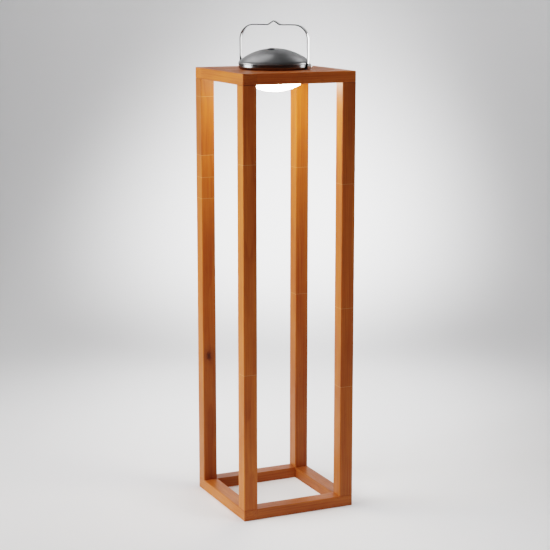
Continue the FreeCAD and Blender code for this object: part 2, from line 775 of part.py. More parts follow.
def make_switch():
    """The small switch board under the button, its switch body and the plunger that the button carries."""
    board_bottom = S.switch_board_drop + S.switch_board_thickness
    board = new_body("switch_board")
    plan = sketch_on(board, "XY_Plane", "Outline")
    half_length = SWITCH_POST + S.switch_board_margin
    half_width = S.switch_board_width / 2
    rectangle(plan, -half_length, half_length, -half_width, half_width)
    circles(plan, [(SWITCH_POST, ZERO), (-SWITCH_POST, ZERO)], S.plate_screw_radius + S.screw_clearance)
    pad(board, plan, "Thickness", S.switch_board_thickness)
    in_button_frame(board, board_bottom)
    switch = new_body("tact_switch")
    plan = sketch_on(switch, "XY_Plane", "Outline")
    half_side = S.switch_side / 2
    rectangle(plan, -half_side, half_side, -half_side, half_side)
    pad(switch, plan, "Height", S.switch_height)
    bore = sketch_on(switch, "XY_Plane", "BoreSketch", S.switch_height)
    circles(bore, [(ZERO, ZERO)], S.plunger_radius + S.plunger_clearance)
    pocket(switch, bore, "Bore", S.plunger_depth + S.button_travel + S.plunger_clearance)
    in_button_frame(switch, S.switch_board_drop)
    plunger_foot = S.switch_board_drop - S.switch_height + S.plunger_depth
    plunger = primitive("Cylinder", "switch_plunger", Radius=S.plunger_radius,
                        Height=plunger_foot - stem_end())
    keep(plunger, "switch_plunger")
    in_button_frame(plunger, plunger_foot)
    screws = []
    for side in (SWITCH_POST, -SWITCH_POST):
        shank = primitive("Cylinder", "switch_screw_shank", Radius=S.plate_screw_radius,
                          Height=S.plate_screw_length)
        place(shank, side, ZERO, ZERO)
        head = primitive("Cylinder", "switch_screw_head", Radius=S.plate_screw_head_radius,
                         Height=S.plate_screw_head_height)
        place(head, side, ZERO, -S.plate_screw_head_height)
        screws.append(fuse("switch_screw", [shank, head]))
    in_button_frame(group("switch_board_screws", screws), board_bottom)


# bail handle and its pivots

def rounded_path(points, radii):
    """Lines through the points with an arc of its own radius at each inner point."""
    edges = []
    start = points[0]
    for before, corner, after, radius in zip(points, points[1:], points[2:], radii):
        back = (before - corner).normalize()
        ahead = (after - corner).normalize()
        half_angle = back.getAngle(ahead) / 2
        reach = radius / math.tan(half_angle)
        bisector = (back + ahead).normalize()
        centre = corner + bisector * (radius / math.sin(half_angle))
        first = corner + back * reach
        last = corner + ahead * reach
        edges.append(Part.LineSegment(start, first).toShape())
        edges.append(Part.Arc(first, centre - bisector * radius, last).toShape())
        start = last
    edges.append(Part.LineSegment(start, points[-1]).toShape())
    return Part.Wire(edges)


def make_bail():
    """The flat steel bail: one strip bent over twice, with a hanging notch, and an eye at each end."""
    half_span = BAIL_INNER.value + S.bail_thickness.value / 2
    foot = PIVOT_HEIGHT.value
    bar = foot + HEAD_RADIUS.value + S.bail_head_gap.value
    notch = S.notch_half_width.value
    points = [Vector(x, 0, z) for x, z in (
        (-half_span, foot), (-half_span, bar), (-notch, bar), (0, bar + S.notch_rise.value),
        (notch, bar), (half_span, bar), (half_span, foot))]
    corner = S.bail_corner_radius.value
    bend = S.notch_radius.value
    line = rounded_path(points, [corner, bend, bend, bend, corner])
    half = S.bail_thickness.value / 2
    sides = [line.makeOffset2D(shift, 0, False, True) for shift in (half, -half)]
    left = Part.LineSegment(lowest(sides[0], -1), lowest(sides[1], -1)).toShape()
    right = Part.LineSegment(lowest(sides[0], 1), lowest(sides[1], 1)).toShape()
    loop = Part.Wire(Part.__sortEdges__(sides[0].Edges + sides[1].Edges + [left, right]))
    width = S.bail_width.value
    strip = Part.Face(loop).extrude(Vector(0, width, 0)).translated(Vector(0, -width / 2, 0))
    for side in (-1, 1):
        inner_face = Vector(side * BAIL_INNER.value, 0, foot)
        eye_radius = PIVOT_HEIGHT.value - S.bail_eye_gap.value
        eye = Part.makeCylinder(eye_radius, S.bail_thickness.value, inner_face, Vector(side, 0, 0))
        strip = strip.fuse(eye)
    for side in (-1, 1):
        inner_face = Vector(side * (BAIL_INNER.value - S.overrun.value), 0, foot)
        radius = S.pivot_radius.value + S.pivot_clearance.value
        reach = S.bail_thickness.value + S.overrun.value * 2
        strip = strip.cut(Part.makeCylinder(radius, reach, inner_face, Vector(side, 0, 0)))
    bail = keep(doc.addObject("Part::Feature", "bail_handle"), "bail_handle")
    bail.Shape = strip.removeSplitter()
    on_head(bail)


def lowest(wire, side):
    """The lowest end point of an open wire on one side of the middle."""
    ends = [vertex.Point for vertex in wire.Vertexes if vertex.X * side > 0]
    return min(ends, key=lambda point: point.z)


def make_pivots():
    """A round-headed screw and a washer at each end of the bail's axis."""
    screws = []
    washers = []
    head_radius = PIVOT_HEIGHT - S.pivot_head_gap
    for side in (-1, 1):
        outward = Rotation(Vector(0, 1, 0), 90 * side)
        flat = BAIL_OUTER + S.bail_running_gap
        shank_start = PIVOT_SEAT - PIVOT_DEPTH + S.dowel_end_gap
        shank = primitive("Cylinder", "pivot_shank", Radius=S.pivot_radius,
                          Height=flat + S.pivot_head_rise - shank_start)
        place(shank, shank_start * side, ZERO, PIVOT_HEIGHT, outward)
        ball = primitive("Sphere", "pivot_ball", Radius=head_radius)
        place(ball, (flat + S.pivot_head_rise) * side, ZERO, PIVOT_HEIGHT, outward)
        room = primitive("Cylinder", "pivot_ball_room", Radius=head_radius + S.overrun,
                         Height=head_radius * 2 + S.overrun)
        place(room, flat * side, ZERO, PIVOT_HEIGHT, outward)
        head = doc.addObject("Part::Common", "pivot_head")
        head.Base = ball
        head.Tool = room
        screws.append(fuse("pivot_screw", [shank, head]))
        disc = primitive("Cylinder", "washer_disc", Radius=WASHER_RADIUS, Height=S.washer_thickness)
        place(disc, PIVOT_SEAT * side, ZERO, PIVOT_HEIGHT, outward)
        bore = primitive("Cylinder", "washer_bore", Radius=S.pivot_radius + S.pivot_clearance,
                         Height=S.washer_thickness)
        place(bore, PIVOT_SEAT * side, ZERO, PIVOT_HEIGHT, outward)
        washers.append(cut("washer", disc, bore))
    on_head(group("pivot_screws", screws))
    on_head(group("pivot_washers", washers))


# opal bowl and its seal

def make_bowl():
    """The opal bowl: a neck inside the sleeve, a straight wall and a shallow round bottom."""
    body = new_body("opal_bowl")
    radius = SLEEVE_INNER + S.bowl_seal_width
    top = -S.sleeve_depth - S.bowl_seal_thickness
    wall_end = top - S.bowl_straight
    bottom = wall_end - S.bowl_sag
    neck_outer = SLEEVE_INNER - S.neck_clearance
    neck_inner = neck_outer - S.neck_wall
    neck_top = SHOULDER_FOOT - S.neck_gap
    sphere = (radius * radius + S.bowl_sag * S.bowl_sag) / (S.bowl_sag * 2)
    centre = bottom + sphere
    inner_sphere = sphere - S.bowl_wall
    inner_end = centre - (inner_sphere * inner_sphere - neck_inner * neck_inner).root()
    profile = sketch_on(body, "XZ_Plane", "Profile")
    outline(profile, [
        (ZERO, bottom),
        (radius, wall_end),
        (radius, top),
        (neck_outer, top),
        (neck_outer, neck_top),
        (neck_inner, neck_top),
        (neck_inner, inner_end),
        (ZERO, bottom + S.bowl_wall),
    ], arcs=(0, 6))
    revolve(body, profile)
    round_edges(body, "Shoulder", S.bowl_edge_radius, lambda edge: ring_at(edge, radius, wall_end))
    on_head(body)


def make_bowl_seal():
    """The flat rubber ring between the sleeve's end and the bowl's step."""
    body = new_body("bowl_seal")
    profile = sketch_on(body, "XZ_Plane", "Profile")
    rectangle(profile, SLEEVE_INNER, SLEEVE_INNER + S.bowl_seal_width,
              -S.sleeve_depth - S.bowl_seal_thickness, -S.sleeve_depth)
    revolve(body, profile)
    on_head(body)


# lamp plate, boards and cells

def make_plate():
    """The aluminium plate that rests on the ring's inner shoulder and carries the boards."""
    body = new_body("lamp_plate")
    plan = sketch_on(body, "XY_Plane", "Outline", -S.shoulder_top_depth)
    circles(plan, [(ZERO, ZERO)], SLEEVE_INNER - S.plate_clearance)
    circles(plan, list(around(PLATE_SCREW_CIRCLE, 4)), S.plate_screw_radius + S.screw_clearance)
    circles(plan, [(ZERO, LED_BOARD_RADIUS - S.wire_hole_inset)], S.wire_hole_radius)
    pad(body, plan, "Thickness", S.plate_thickness)
    on_head(body)


def make_plate_screws():
    """Four screws that hold the lamp plate on the shoulder."""
    solids = []
    for x, y in around(PLATE_SCREW_CIRCLE, 4):
        shank = primitive("Cylinder", "plate_screw_shank", Radius=S.plate_screw_radius,
                          Height=S.plate_screw_length)
        place(shank, x, y, PLATE_TOP - S.plate_screw_length)
        head = primitive("Cylinder", "plate_screw_head", Radius=S.plate_screw_head_radius,
                         Height=S.plate_screw_head_height)
        place(head, x, y, PLATE_TOP)
        solids.append(fuse("plate_screw", [shank, head]))
    on_head(group("lamp_plate_screws", solids))


def make_led_board():
    """The round LED board under the plate, with its chips in a ring."""
    body = new_body("led_board")
    plan = sketch_on(body, "XY_Plane", "Outline", -S.shoulder_top_depth - S.led_board_thickness)
    circles(plan, [(ZERO, ZERO)], LED_BOARD_RADIUS)
    circles(plan, [(ZERO, LED_BOARD_RADIUS - S.wire_hole_inset)], S.wire_hole_radius)
    pad(body, plan, "Thickness", S.led_board_thickness)
    on_head(body)
    chips = []
    half = S.led_side / 2
    circle = LED_BOARD_RADIUS - S.led_circle_inset
    for x, y in around(circle, int(S.led_count.value), 180.0 / S.led_count.value):
        chip = primitive("Box", "led_chip", Length=S.led_side, Width=S.led_side, Height=S.led_height)
        place(chip, x - half, y - half, -S.shoulder_top_depth - S.led_board_thickness - S.led_height)
        chips.append(chip)
    on_head(group("led_chips", chips))


def make_cells():
    """Two round cells side by side in a moulded holder on the plate."""
    cell_z = PLATE_TOP + S.holder_wall + S.cell_radius + S.holder_clearance
    lying = Rotation(Vector(0, 1, 0), 90)
    cells = []
    troughs = []
    for side in (-0.5, 0.5):
        y = (S.cell_radius * 2 + S.cell_gap) * side
        cell = primitive("Cylinder", "cell", Radius=S.cell_radius, Height=S.cell_length)
        cells.append(place(cell, -S.cell_length / 2, y, cell_z, lying))
        trough = primitive("Cylinder", "trough", Radius=S.cell_radius + S.holder_clearance,
                           Height=S.cell_length + S.holder_clearance * 2)
        troughs.append(place(trough, -S.cell_length / 2 - S.holder_clearance, y, cell_z, lying))
    on_head(group("battery_cells", cells))
    length = S.cell_length + (S.holder_clearance + S.holder_wall) * 2
    block = primitive("Box", "holder_block", Length=length, Width=HOLDER_WIDTH,
                      Height=S.holder_wall + S.holder_side_height)
    place(block, -length / 2, -HOLDER_WIDTH / 2, PLATE_TOP)
    holder = cut("battery_holder", block, fuse("troughs", troughs))
    on_head(keep(holder, "battery_holder"))


def spacer_places():
    """The four corners of the control board where its spacers stand."""
    x = S.board_length / 2 - S.spacer_inset
    y = BOARD_WIDTH / 2 - S.spacer_inset
    return [(x, y), (-x, y), (-x, -y), (x, -y)]


def make_control_board():
    """The control board above the cells, its parts, its spacers and their screws."""
    board_z = PLATE_TOP + SPACER_HEIGHT
    body = new_body("control_board")
    plan = sketch_on(body, "XY_Plane", "Outline", board_z)
    half_length = S.board_length / 2
    half_width = BOARD_WIDTH / 2
    rectangle(plan, -half_length, half_length, -half_width, half_width)
    circles(plan, spacer_places(), S.dome_screw_radius + S.screw_clearance)
    pad(body, plan, "Thickness", S.board_thickness)
    on_head(body)
    spacers = []
    screws = []
    for x, y in spacer_places():
        blank = doc.addObject("Part::Prism", "spacer_blank")
        blank.Polygon = 6
        bind(blank, "Circumradius", S.spacer_radius)
        bind(blank, "Height", SPACER_HEIGHT)
        place(blank, x, y, PLATE_TOP)
        thread = primitive("Cylinder", "spacer_thread", Radius=S.dome_screw_radius, Height=SPACER_HEIGHT / 2)
        place(thread, x, y, PLATE_TOP + SPACER_HEIGHT / 2)
        spacers.append(cut("spacer", blank, thread))
        shank = primitive("Cylinder", "board_screw_shank", Radius=S.dome_screw_radius,
                          Height=S.board_screw_length)
        top = board_z + S.board_thickness
        place(shank, x, y, top - S.board_screw_length)
        head = primitive("Cylinder", "board_screw_head", Radius=S.dome_screw_head_radius,
                         Height=S.dome_screw_head_height)
        place(head, x, y, top)
        screws.append(fuse("board_screw", [shank, head]))
    on_head(group("board_spacers", spacers))
    on_head(group("board_screws", screws))


# charging socket and plug

def make_port():
    """The metal socket shell in the ring's slot at the back of the head, and its rubber plug."""
    back = PORT_FACE - S.port_length
    shell = primitive("Box", "socket_block", Length=S.port_width, Width=S.port_length,
                      Height=S.port_thickness)
    place(shell, -S.port_width / 2, back, PORT_HEIGHT - S.port_thickness / 2)
    mouth_width = S.port_width - S.port_shell * 2
    mouth_height = S.port_thickness - S.port_shell * 2
    mouth = primitive("Box", "socket_mouth", Length=mouth_width, Width=S.port_length, Height=mouth_height)
    place(mouth, -mouth_width / 2, back + S.bowl_seal_thickness, PORT_HEIGHT - mouth_height / 2)
    on_head(keep(cut("charging_socket", shell, mouth), "charging_socket"))
    tongue_width = mouth_width - S.plug_clearance * 2
    tongue_height = mouth_height - S.plug_clearance * 2
    tongue_length = S.plug_tongue_length + PLUG_SEAT - PORT_FACE
    tongue = primitive("Box", "plug_tongue", Length=tongue_width, Width=tongue_length, Height=tongue_height)
    place(tongue, -tongue_width / 2, PLUG_SEAT - tongue_length, PORT_HEIGHT - tongue_height / 2)
    flange = primitive("Box", "plug_flange", Length=S.plug_flange_width, Width=S.plug_flange_thickness,
                       Height=S.plug_flange_height)
    place(flange, -S.plug_flange_width / 2, PLUG_SEAT, PORT_HEIGHT - S.plug_flange_height / 2)
    on_head(keep(fuse("port_plug", [tongue, flange]), "port_plug"))


def check_and_export():
    """Stop on any failed feature or bad shape, then write one file for each sub-part."""
    doc.recompute()
    for item in doc.Objects:
        if "Invalid" in item.State or "Error" in item.State:
            raise RuntimeError(f"{item.Label} failed: {item.State}")
    for piece in parts:
        if piece.Shape.isNull() or not piece.Shape.isValid() or not piece.Shape.Solids:
            raise RuntimeError(f"{piece.Label} has no valid shape")
    os.makedirs("parts", exist_ok=True)
    for piece in parts:
        piece.Shape.exportStep(f"parts/{piece.Label}.step")


for corner in QUARTERS:
    make_post(corner)
    make_rail(corner, top=False)
    make_rail(corner, top=True)
make_panel()
make_post_dowels("base_post_dowels", S.rail_height)
make_post_dowels("top_post_dowels", S.frame_height - S.rail_height)
make_rail_dowels("base_rail_dowels", S.rail_height / 2)
make_rail_dowels("top_rail_dowels", S.frame_height - S.rail_height / 2)
make_ring()
make_dome()
make_dome_screws()
make_button()
make_switch()
make_bail()
make_pivots()
make_bowl()
make_bowl_seal()
make_plate()
make_plate_screws()
make_led_board()
make_cells()
make_control_board()
make_port()
check_and_export()
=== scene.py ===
"""Looks for an open wooden lantern frame with a lift-out lamp head in its top.

Everything is in metres in the part's own frame: +Z up, the origin at the centre of the foot,
the front at -Y. The lamp head has its own frame, turned about Z, with its x axis along the
pivots of the bail and its origin on the wood.
"""

import logging
import math
from dataclasses import dataclass, field
from enum import Enum

import bpy
import numpy as np
from bpy.types import Material, Node, NodeSocket, NodeTree, Object
from mathutils import Matrix, Vector


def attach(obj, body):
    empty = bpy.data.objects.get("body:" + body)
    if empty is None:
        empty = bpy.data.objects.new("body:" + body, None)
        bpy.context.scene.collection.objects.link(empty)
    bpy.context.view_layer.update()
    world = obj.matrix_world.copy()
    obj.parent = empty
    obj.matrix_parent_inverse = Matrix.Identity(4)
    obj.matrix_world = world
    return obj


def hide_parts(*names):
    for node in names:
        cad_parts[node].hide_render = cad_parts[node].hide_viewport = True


log = logging.getLogger("lantern")
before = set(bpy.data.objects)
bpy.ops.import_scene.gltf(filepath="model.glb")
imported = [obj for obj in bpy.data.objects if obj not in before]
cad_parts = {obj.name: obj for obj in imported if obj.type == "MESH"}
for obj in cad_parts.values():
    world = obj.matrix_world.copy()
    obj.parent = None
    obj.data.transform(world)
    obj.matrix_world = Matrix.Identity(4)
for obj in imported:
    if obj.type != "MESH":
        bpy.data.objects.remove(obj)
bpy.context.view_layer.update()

HEAD_TURN = math.radians(-48.0)
WOOD_TOP = 0.920
# Further along than any piece, for an end or a break that isn't there.
NO_END = 9.0
# The head's x, y and z axes, one to a row.
HEAD_AXES = np.array([[math.cos(HEAD_TURN), math.sin(HEAD_TURN), 0.0],
                      [-math.sin(HEAD_TURN), math.cos(HEAD_TURN), 0.0], [0.0, 0.0, 1.0]])
Triple = tuple[float, float, float]
Pair = tuple[float, float]


class Grain(Enum):
    """Which way the fibres of a wooden piece run: the axis's number and the turn that lays it along Z."""

    UP = (2, (0.0, 0.0, 0.0))
    ACROSS = (0, (0.0, math.pi / 2, 0.0))
    DEEP = (1, (math.pi / 2, 0.0, 0.0))


# Node trees


class Tree:
    """A shader node tree with short ways to add and join nodes."""

    def __init__(self, tree: NodeTree) -> None:
        """Wraps a material's or a group's node tree."""
        self.tree = tree

    def feed(self, node: Node, inputs: dict) -> Node:
        """Sets or joins a node's inputs.

        Args:
            node: The node.
            inputs: Input names or numbers, each with a value or the output socket to join.

        Returns:
            The same node.
        """
        for key, value in inputs.items():
            if isinstance(value, NodeSocket):
                self.tree.links.new(value, node.inputs[key])
            else:
                node.inputs[key].default_value = value
        return node

    def add(self, kind: str, inputs: dict | None = None, **settings: object) -> Node:
        """Adds a node.

        Args:
            kind: The node's type name without the leading ShaderNode.
            inputs: What to feed it.
            **settings: Properties of the node.

        Returns:
            The new node.
        """
        node = self.tree.nodes.new("ShaderNode" + kind)
        for name, value in settings.items():
            setattr(node, name, value)
        return self.feed(node, inputs or {})

    def math(self, operation: str, a: object, b: object = 0.0, clamp: bool = False) -> NodeSocket:
        """Works out one value from two, each a number or a socket."""
        return self.add("Math", {0: a, 1: b}, operation=operation, use_clamp=clamp).outputs[0]

    def spread(self, value: object, low: float, high: float, to_low: float = 0.0,
               to_high: float = 1.0) -> NodeSocket:
        """Maps the range from low to high smoothly onto the range from to_low to to_high."""
        inputs = {"Value": value, "From Min": low, "From Max": high, "To Min": to_low, "To Max": to_high}
        return self.add("MapRange", inputs, interpolation_type="SMOOTHSTEP").outputs["Result"]

    def noise(self, vector: NodeSocket, scale: Triple, detail: float = 2.0) -> NodeSocket:
        """Noise that is stretched differently along each axis.

        Args:
            vector: Where on the surface, in metres.
            scale: Cycles per metre along each axis.
            detail: How many finer octaves are added.

        Returns:
            The noise value's socket, around one half.
        """
        stretched = self.add("Mapping", {"Vector": vector, "Scale": scale}).outputs[0]
        inputs = {"Vector": stretched, "Scale": 1.0, "Detail": detail, "Roughness": 0.55}
        return self.add("TexNoise", inputs).outputs["Fac"]

    def mix(self, factor: object, a: object, b: object) -> NodeSocket:
        """Mixes two colours, each a socket or a triple, by a factor that is the share of the second."""
        a, b = ((*value, 1.0) if isinstance(value, tuple) else value for value in (a, b))
        return self.add("Mix", {0: factor, 6: a, 7: b}, data_type="RGBA").outputs[2]

    def tint(self, mask: NodeSocket, share: float, colour: NodeSocket, other: Triple) -> NodeSocket:
        """Takes a colour towards another by a share of a mask."""
        return self.mix(self.math("MULTIPLY", mask, share), colour, other)

    def cover(self, shader: Node, colour: NodeSocket, rough: NodeSocket,
              height: NodeSocket, strength: float, distance: float) -> None:
        """Joins a colour, a roughness and a bump, of a strength and a depth in metres, to a shader."""
        bump = self.add("Bump", {"Height": height, "Strength": strength, "Distance": distance})
        self.feed(shader, {"Base Color": colour, "Roughness": rough, "Normal": bump.outputs[0]})


class Group:
    """A shader node group with named inputs and outputs, filled in by its subclass."""

    name: str = ""
    # The name of each input and output, with its kind of socket.
    takes: dict[str, str] = {}
    gives: dict[str, str] = {}
    built: NodeTree | None = None

    def __init__(self) -> None:
        """Builds the group's tree."""
        self.tree = bpy.data.node_groups.new(self.name, "ShaderNodeTree")
        for sockets, side in ((self.takes, "INPUT"), (self.gives, "OUTPUT")):
            for title, kind in sockets.items():
                self.tree.interface.new_socket(title, in_out=side, socket_type="NodeSocket" + kind)
        self.inner = Tree(self.tree)
        self.source = self.tree.nodes.new("NodeGroupInput").outputs
        self.inner.feed(self.tree.nodes.new("NodeGroupOutput"), self.fill())

    def fill(self) -> dict[str, NodeSocket]:
        """Makes the group's nodes and gives the socket for each output."""
        raise NotImplementedError

    @classmethod
    def place(cls, tree: Tree, **inputs: object) -> Node:
        """Puts the group into a material, and builds it the first time.

        Args:
            tree: The material's tree.
            **inputs: Input names, with spaces written as underscores, and their values or sockets.

        Returns:
            The group node.
        """
        if cls.built is None:
            cls.built = cls().tree
        titled = {title.replace("_", " "): value for title, value in inputs.items()}
        return tree.add("Group", titled, node_tree=cls.built)


class WoodGrain(Group):
    """Growth rings round a pith, fibres along Z and pores, for a vector whose Z runs along the grain."""

    name = "Wood grain"
    takes = {"Vector": "Vector", "Light": "Color", "Dark": "Color", "Ring Spacing": "Float",
             "Ring Strength": "Float", "Fibre Strength": "Float"}
    gives = {"Color": "Color", "Roughness": "Float", "Height": "Float"}
    # Cycles per metre across, across and along the grain.
    warp_scale: Triple = (22.0, 22.0, 2.2)
    streak_scale: Triple = (210.0, 210.0, 6.0)
    fibre_scale: Triple = (900.0, 900.0, 24.0)
    tone_scale: Triple = (30.0, 30.0, 5.0)
    pore_scale: Triple = (1500.0, 1500.0, 55.0)
    warp_reach: float = 0.022
    pore_colour: Triple = (0.03, 0.011, 0.005)
    base_roughness: float = 0.36

    def fill(self) -> dict[str, NodeSocket]:
        """Adds up slow tone, rings, streaks and pores, each from noise stretched along Z.

        A ring's place is the fraction of (distance from the pith + warp) / spacing.

        Returns:
            The socket for each output.
        """
        n = self.inner
        at = self.source["Vector"]
        apart = n.add("SeparateXYZ", {0: at}).outputs
        warp = n.noise(at, self.warp_scale)
        radius = n.math("SQRT", n.math("ADD", n.math("POWER", apart[0], 2.0), n.math("POWER", apart[1], 2.0)))
        bent = n.math("ADD", radius, n.math("MULTIPLY", n.math("SUBTRACT", warp, 0.5), self.warp_reach))
        turns = n.math("FRACT", n.math("DIVIDE", bent, self.source["Ring Spacing"]))
        late = n.math("MULTIPLY", n.spread(turns, 0.30, 0.92), n.spread(turns, 1.0, 0.94))
        streak = n.noise(at, self.streak_scale, 3.0)
        fibre = n.noise(at, self.fibre_scale)
        tone = n.noise(at, self.tone_scale, 1.0)
        ring_part = n.math("MULTIPLY", late, self.source["Ring Strength"])
        streak_part = n.math("MULTIPLY", n.spread(streak, 0.30, 0.72), self.source["Fibre Strength"])
        fibre_part = n.math("MULTIPLY", n.spread(fibre, 0.35, 0.68), 0.22)
        tone_part = n.math("MULTIPLY", n.spread(tone, 0.30, 0.70), 0.45)
        total = n.math("ADD", n.math("ADD", ring_part, streak_part), n.math("ADD", fibre_part, tone_part))
        colour = n.mix(n.math("MULTIPLY", total, 0.72, clamp=True), self.source["Light"], self.source["Dark"])
        pores = n.spread(n.noise(at, self.pore_scale, 1.0), 0.69, 0.76)
        colour = n.tint(pores, 0.45, colour, self.pore_colour)
        rough = n.math("ADD", n.math("MULTIPLY", fibre_part, 0.45), n.math("MULTIPLY", tone_part, 0.10))
        height = n.math("SUBTRACT", n.math("MULTIPLY", fibre_part, 0.6), pores)
        rough = n.math("ADD", rough, self.base_roughness)
        return {"Color": colour, "Roughness": rough, "Height": height}


class GluedStaves(Group):
    """Short lengths of wood glued end to end: a thin line at each break and a tone for each length."""

    name = "Glued staves"
    takes = {"Along": "Float", **{f"Break {number}": "Float" for number in range(1, 5)}}
    gives = {"Line": "Float", "Tone": "Float"}

    def fill(self) -> dict[str, NodeSocket]:
        """Counts the breaks below a point, and hashes the count into a tone between 0 and 1.

        The tone is the fraction of 43.758 * |sin(12.9898 * (count + 1))|.

        Returns:
            The socket for each output.
        """
        n = self.inner
        along = self.source["Along"]
        line: object = 0.0
        count: object = 0.0
        for number in range(1, 5):
            away = n.math("SUBTRACT", along, self.source[f"Break {number}"])
            count = n.math("ADD", count, n.math("GREATER_THAN", away, 0.0))
            line = n.math("MAXIMUM", line, n.spread(n.math("ABSOLUTE", away), 0.0005, 0.0002))
        sine = n.math("SINE", n.math("MULTIPLY", n.math("ADD", count, 1.0), 12.9898))
        return {"Line": line, "Tone": n.math("FRACT", n.math("MULTIPLY", n.math("ABSOLUTE", sine), 43.758))}


class EndSeam(Group):
    """A dark line where a piece ends against its neighbour: painted shade for the shadow in the joint."""

    name = "End seam"
    takes = {"Along": "Float", "Low End": "Float", "High End": "Float"}
    gives = {"Line": "Float"}
    width: float = 0.0006

    def fill(self) -> dict[str, NodeSocket]:
        """One at either end, falling to zero over the width.

        Returns:
            The socket for the output.
        """
        n = self.inner
        low, high = (n.math("ABSOLUTE", n.math("SUBTRACT", self.source["Along"], self.source[end]))
                     for end in ("Low End", "High End"))
        near = n.math("DIVIDE", n.math("MINIMUM", low, high), self.width)
        return {"Line": n.spread(near, 1.0, 0.25)}


class Knot(Group):
    """A small dark knot with a paler ring of turned grain round it."""

    name = "Knot"
    takes = {"Vector": "Vector", "Centre": "Vector", "Size": "Vector"}
    gives = {"Core": "Float", "Halo": "Float"}
    ruffle_scale: Triple = (260.0, 260.0, 120.0)

    def fill(self) -> dict[str, NodeSocket]:
        """Distance from the centre in units of the size, ruffled with noise.

        Returns:
            The socket for each output.
        """
        n = self.inner
        away = n.add("VectorMath", {0: self.source["Vector"], 1: self.source["Centre"]}, operation="SUBTRACT")
        scaled = n.add("VectorMath", {0: away.outputs[0], 1: self.source["Size"]}, operation="DIVIDE")
        length = n.add("VectorMath", {0: scaled.outputs[0]}, operation="LENGTH").outputs["Value"]
        ruffle = n.noise(self.source["Vector"], self.ruffle_scale)
        length = n.math("ADD", length, n.math("MULTIPLY", n.math("SUBTRACT", ruffle, 0.5), 1.1))
        return {"Core": n.spread(length, 1.0, 0.25), "Halo": n.spread(length, 2.2, 0.8)}


class Wear(Group):
    """Faint smudges and fine marks for metal and plastic: a roughness offset and a tone."""

    name = "Handling marks"
    takes = {"Vector": "Vector", "Size": "Float", "Strength": "Float"}
    gives = {"Roughness": "Float", "Tone": "Float", "Height": "Float"}
    texture_scale: Triple = (2600.0, 2600.0, 2600.0)

    def fill(self) -> dict[str, NodeSocket]:
        """Slow cloudy noise for smudges and fine noise for the surface's texture.

        Returns:
            The socket for each output.
        """
        n = self.inner
        sized = n.add("VectorMath", {0: self.source["Vector"], 3: self.source["Size"]}, operation="SCALE")
        cloud = n.spread(n.noise(sized.outputs[0], (1.0, 1.0, 1.0), 3.0), 0.35, 0.70)
        fine = n.noise(self.source["Vector"], self.texture_scale, 1.0)
        rough = n.math("MULTIPLY", n.math("SUBTRACT", cloud, 0.5), self.source["Strength"])
        return {"Roughness": rough, "Tone": cloud, "Height": fine}


def new_material(name: str) -> tuple[Material, Tree, Node]:
    """Starts a material with its Principled shader.

    Args:
        name: The material's name.

    Returns:
        The material, its tree and its shader node.
    """
    material = bpy.data.materials.new(name)
    material.use_nodes = True
    material.node_tree.nodes.clear()
    tree = Tree(material.node_tree)
    shader = tree.add("BsdfPrincipled")
    tree.add("OutputMaterial", {"Surface": shader.outputs[0]})
    return material, tree, shader


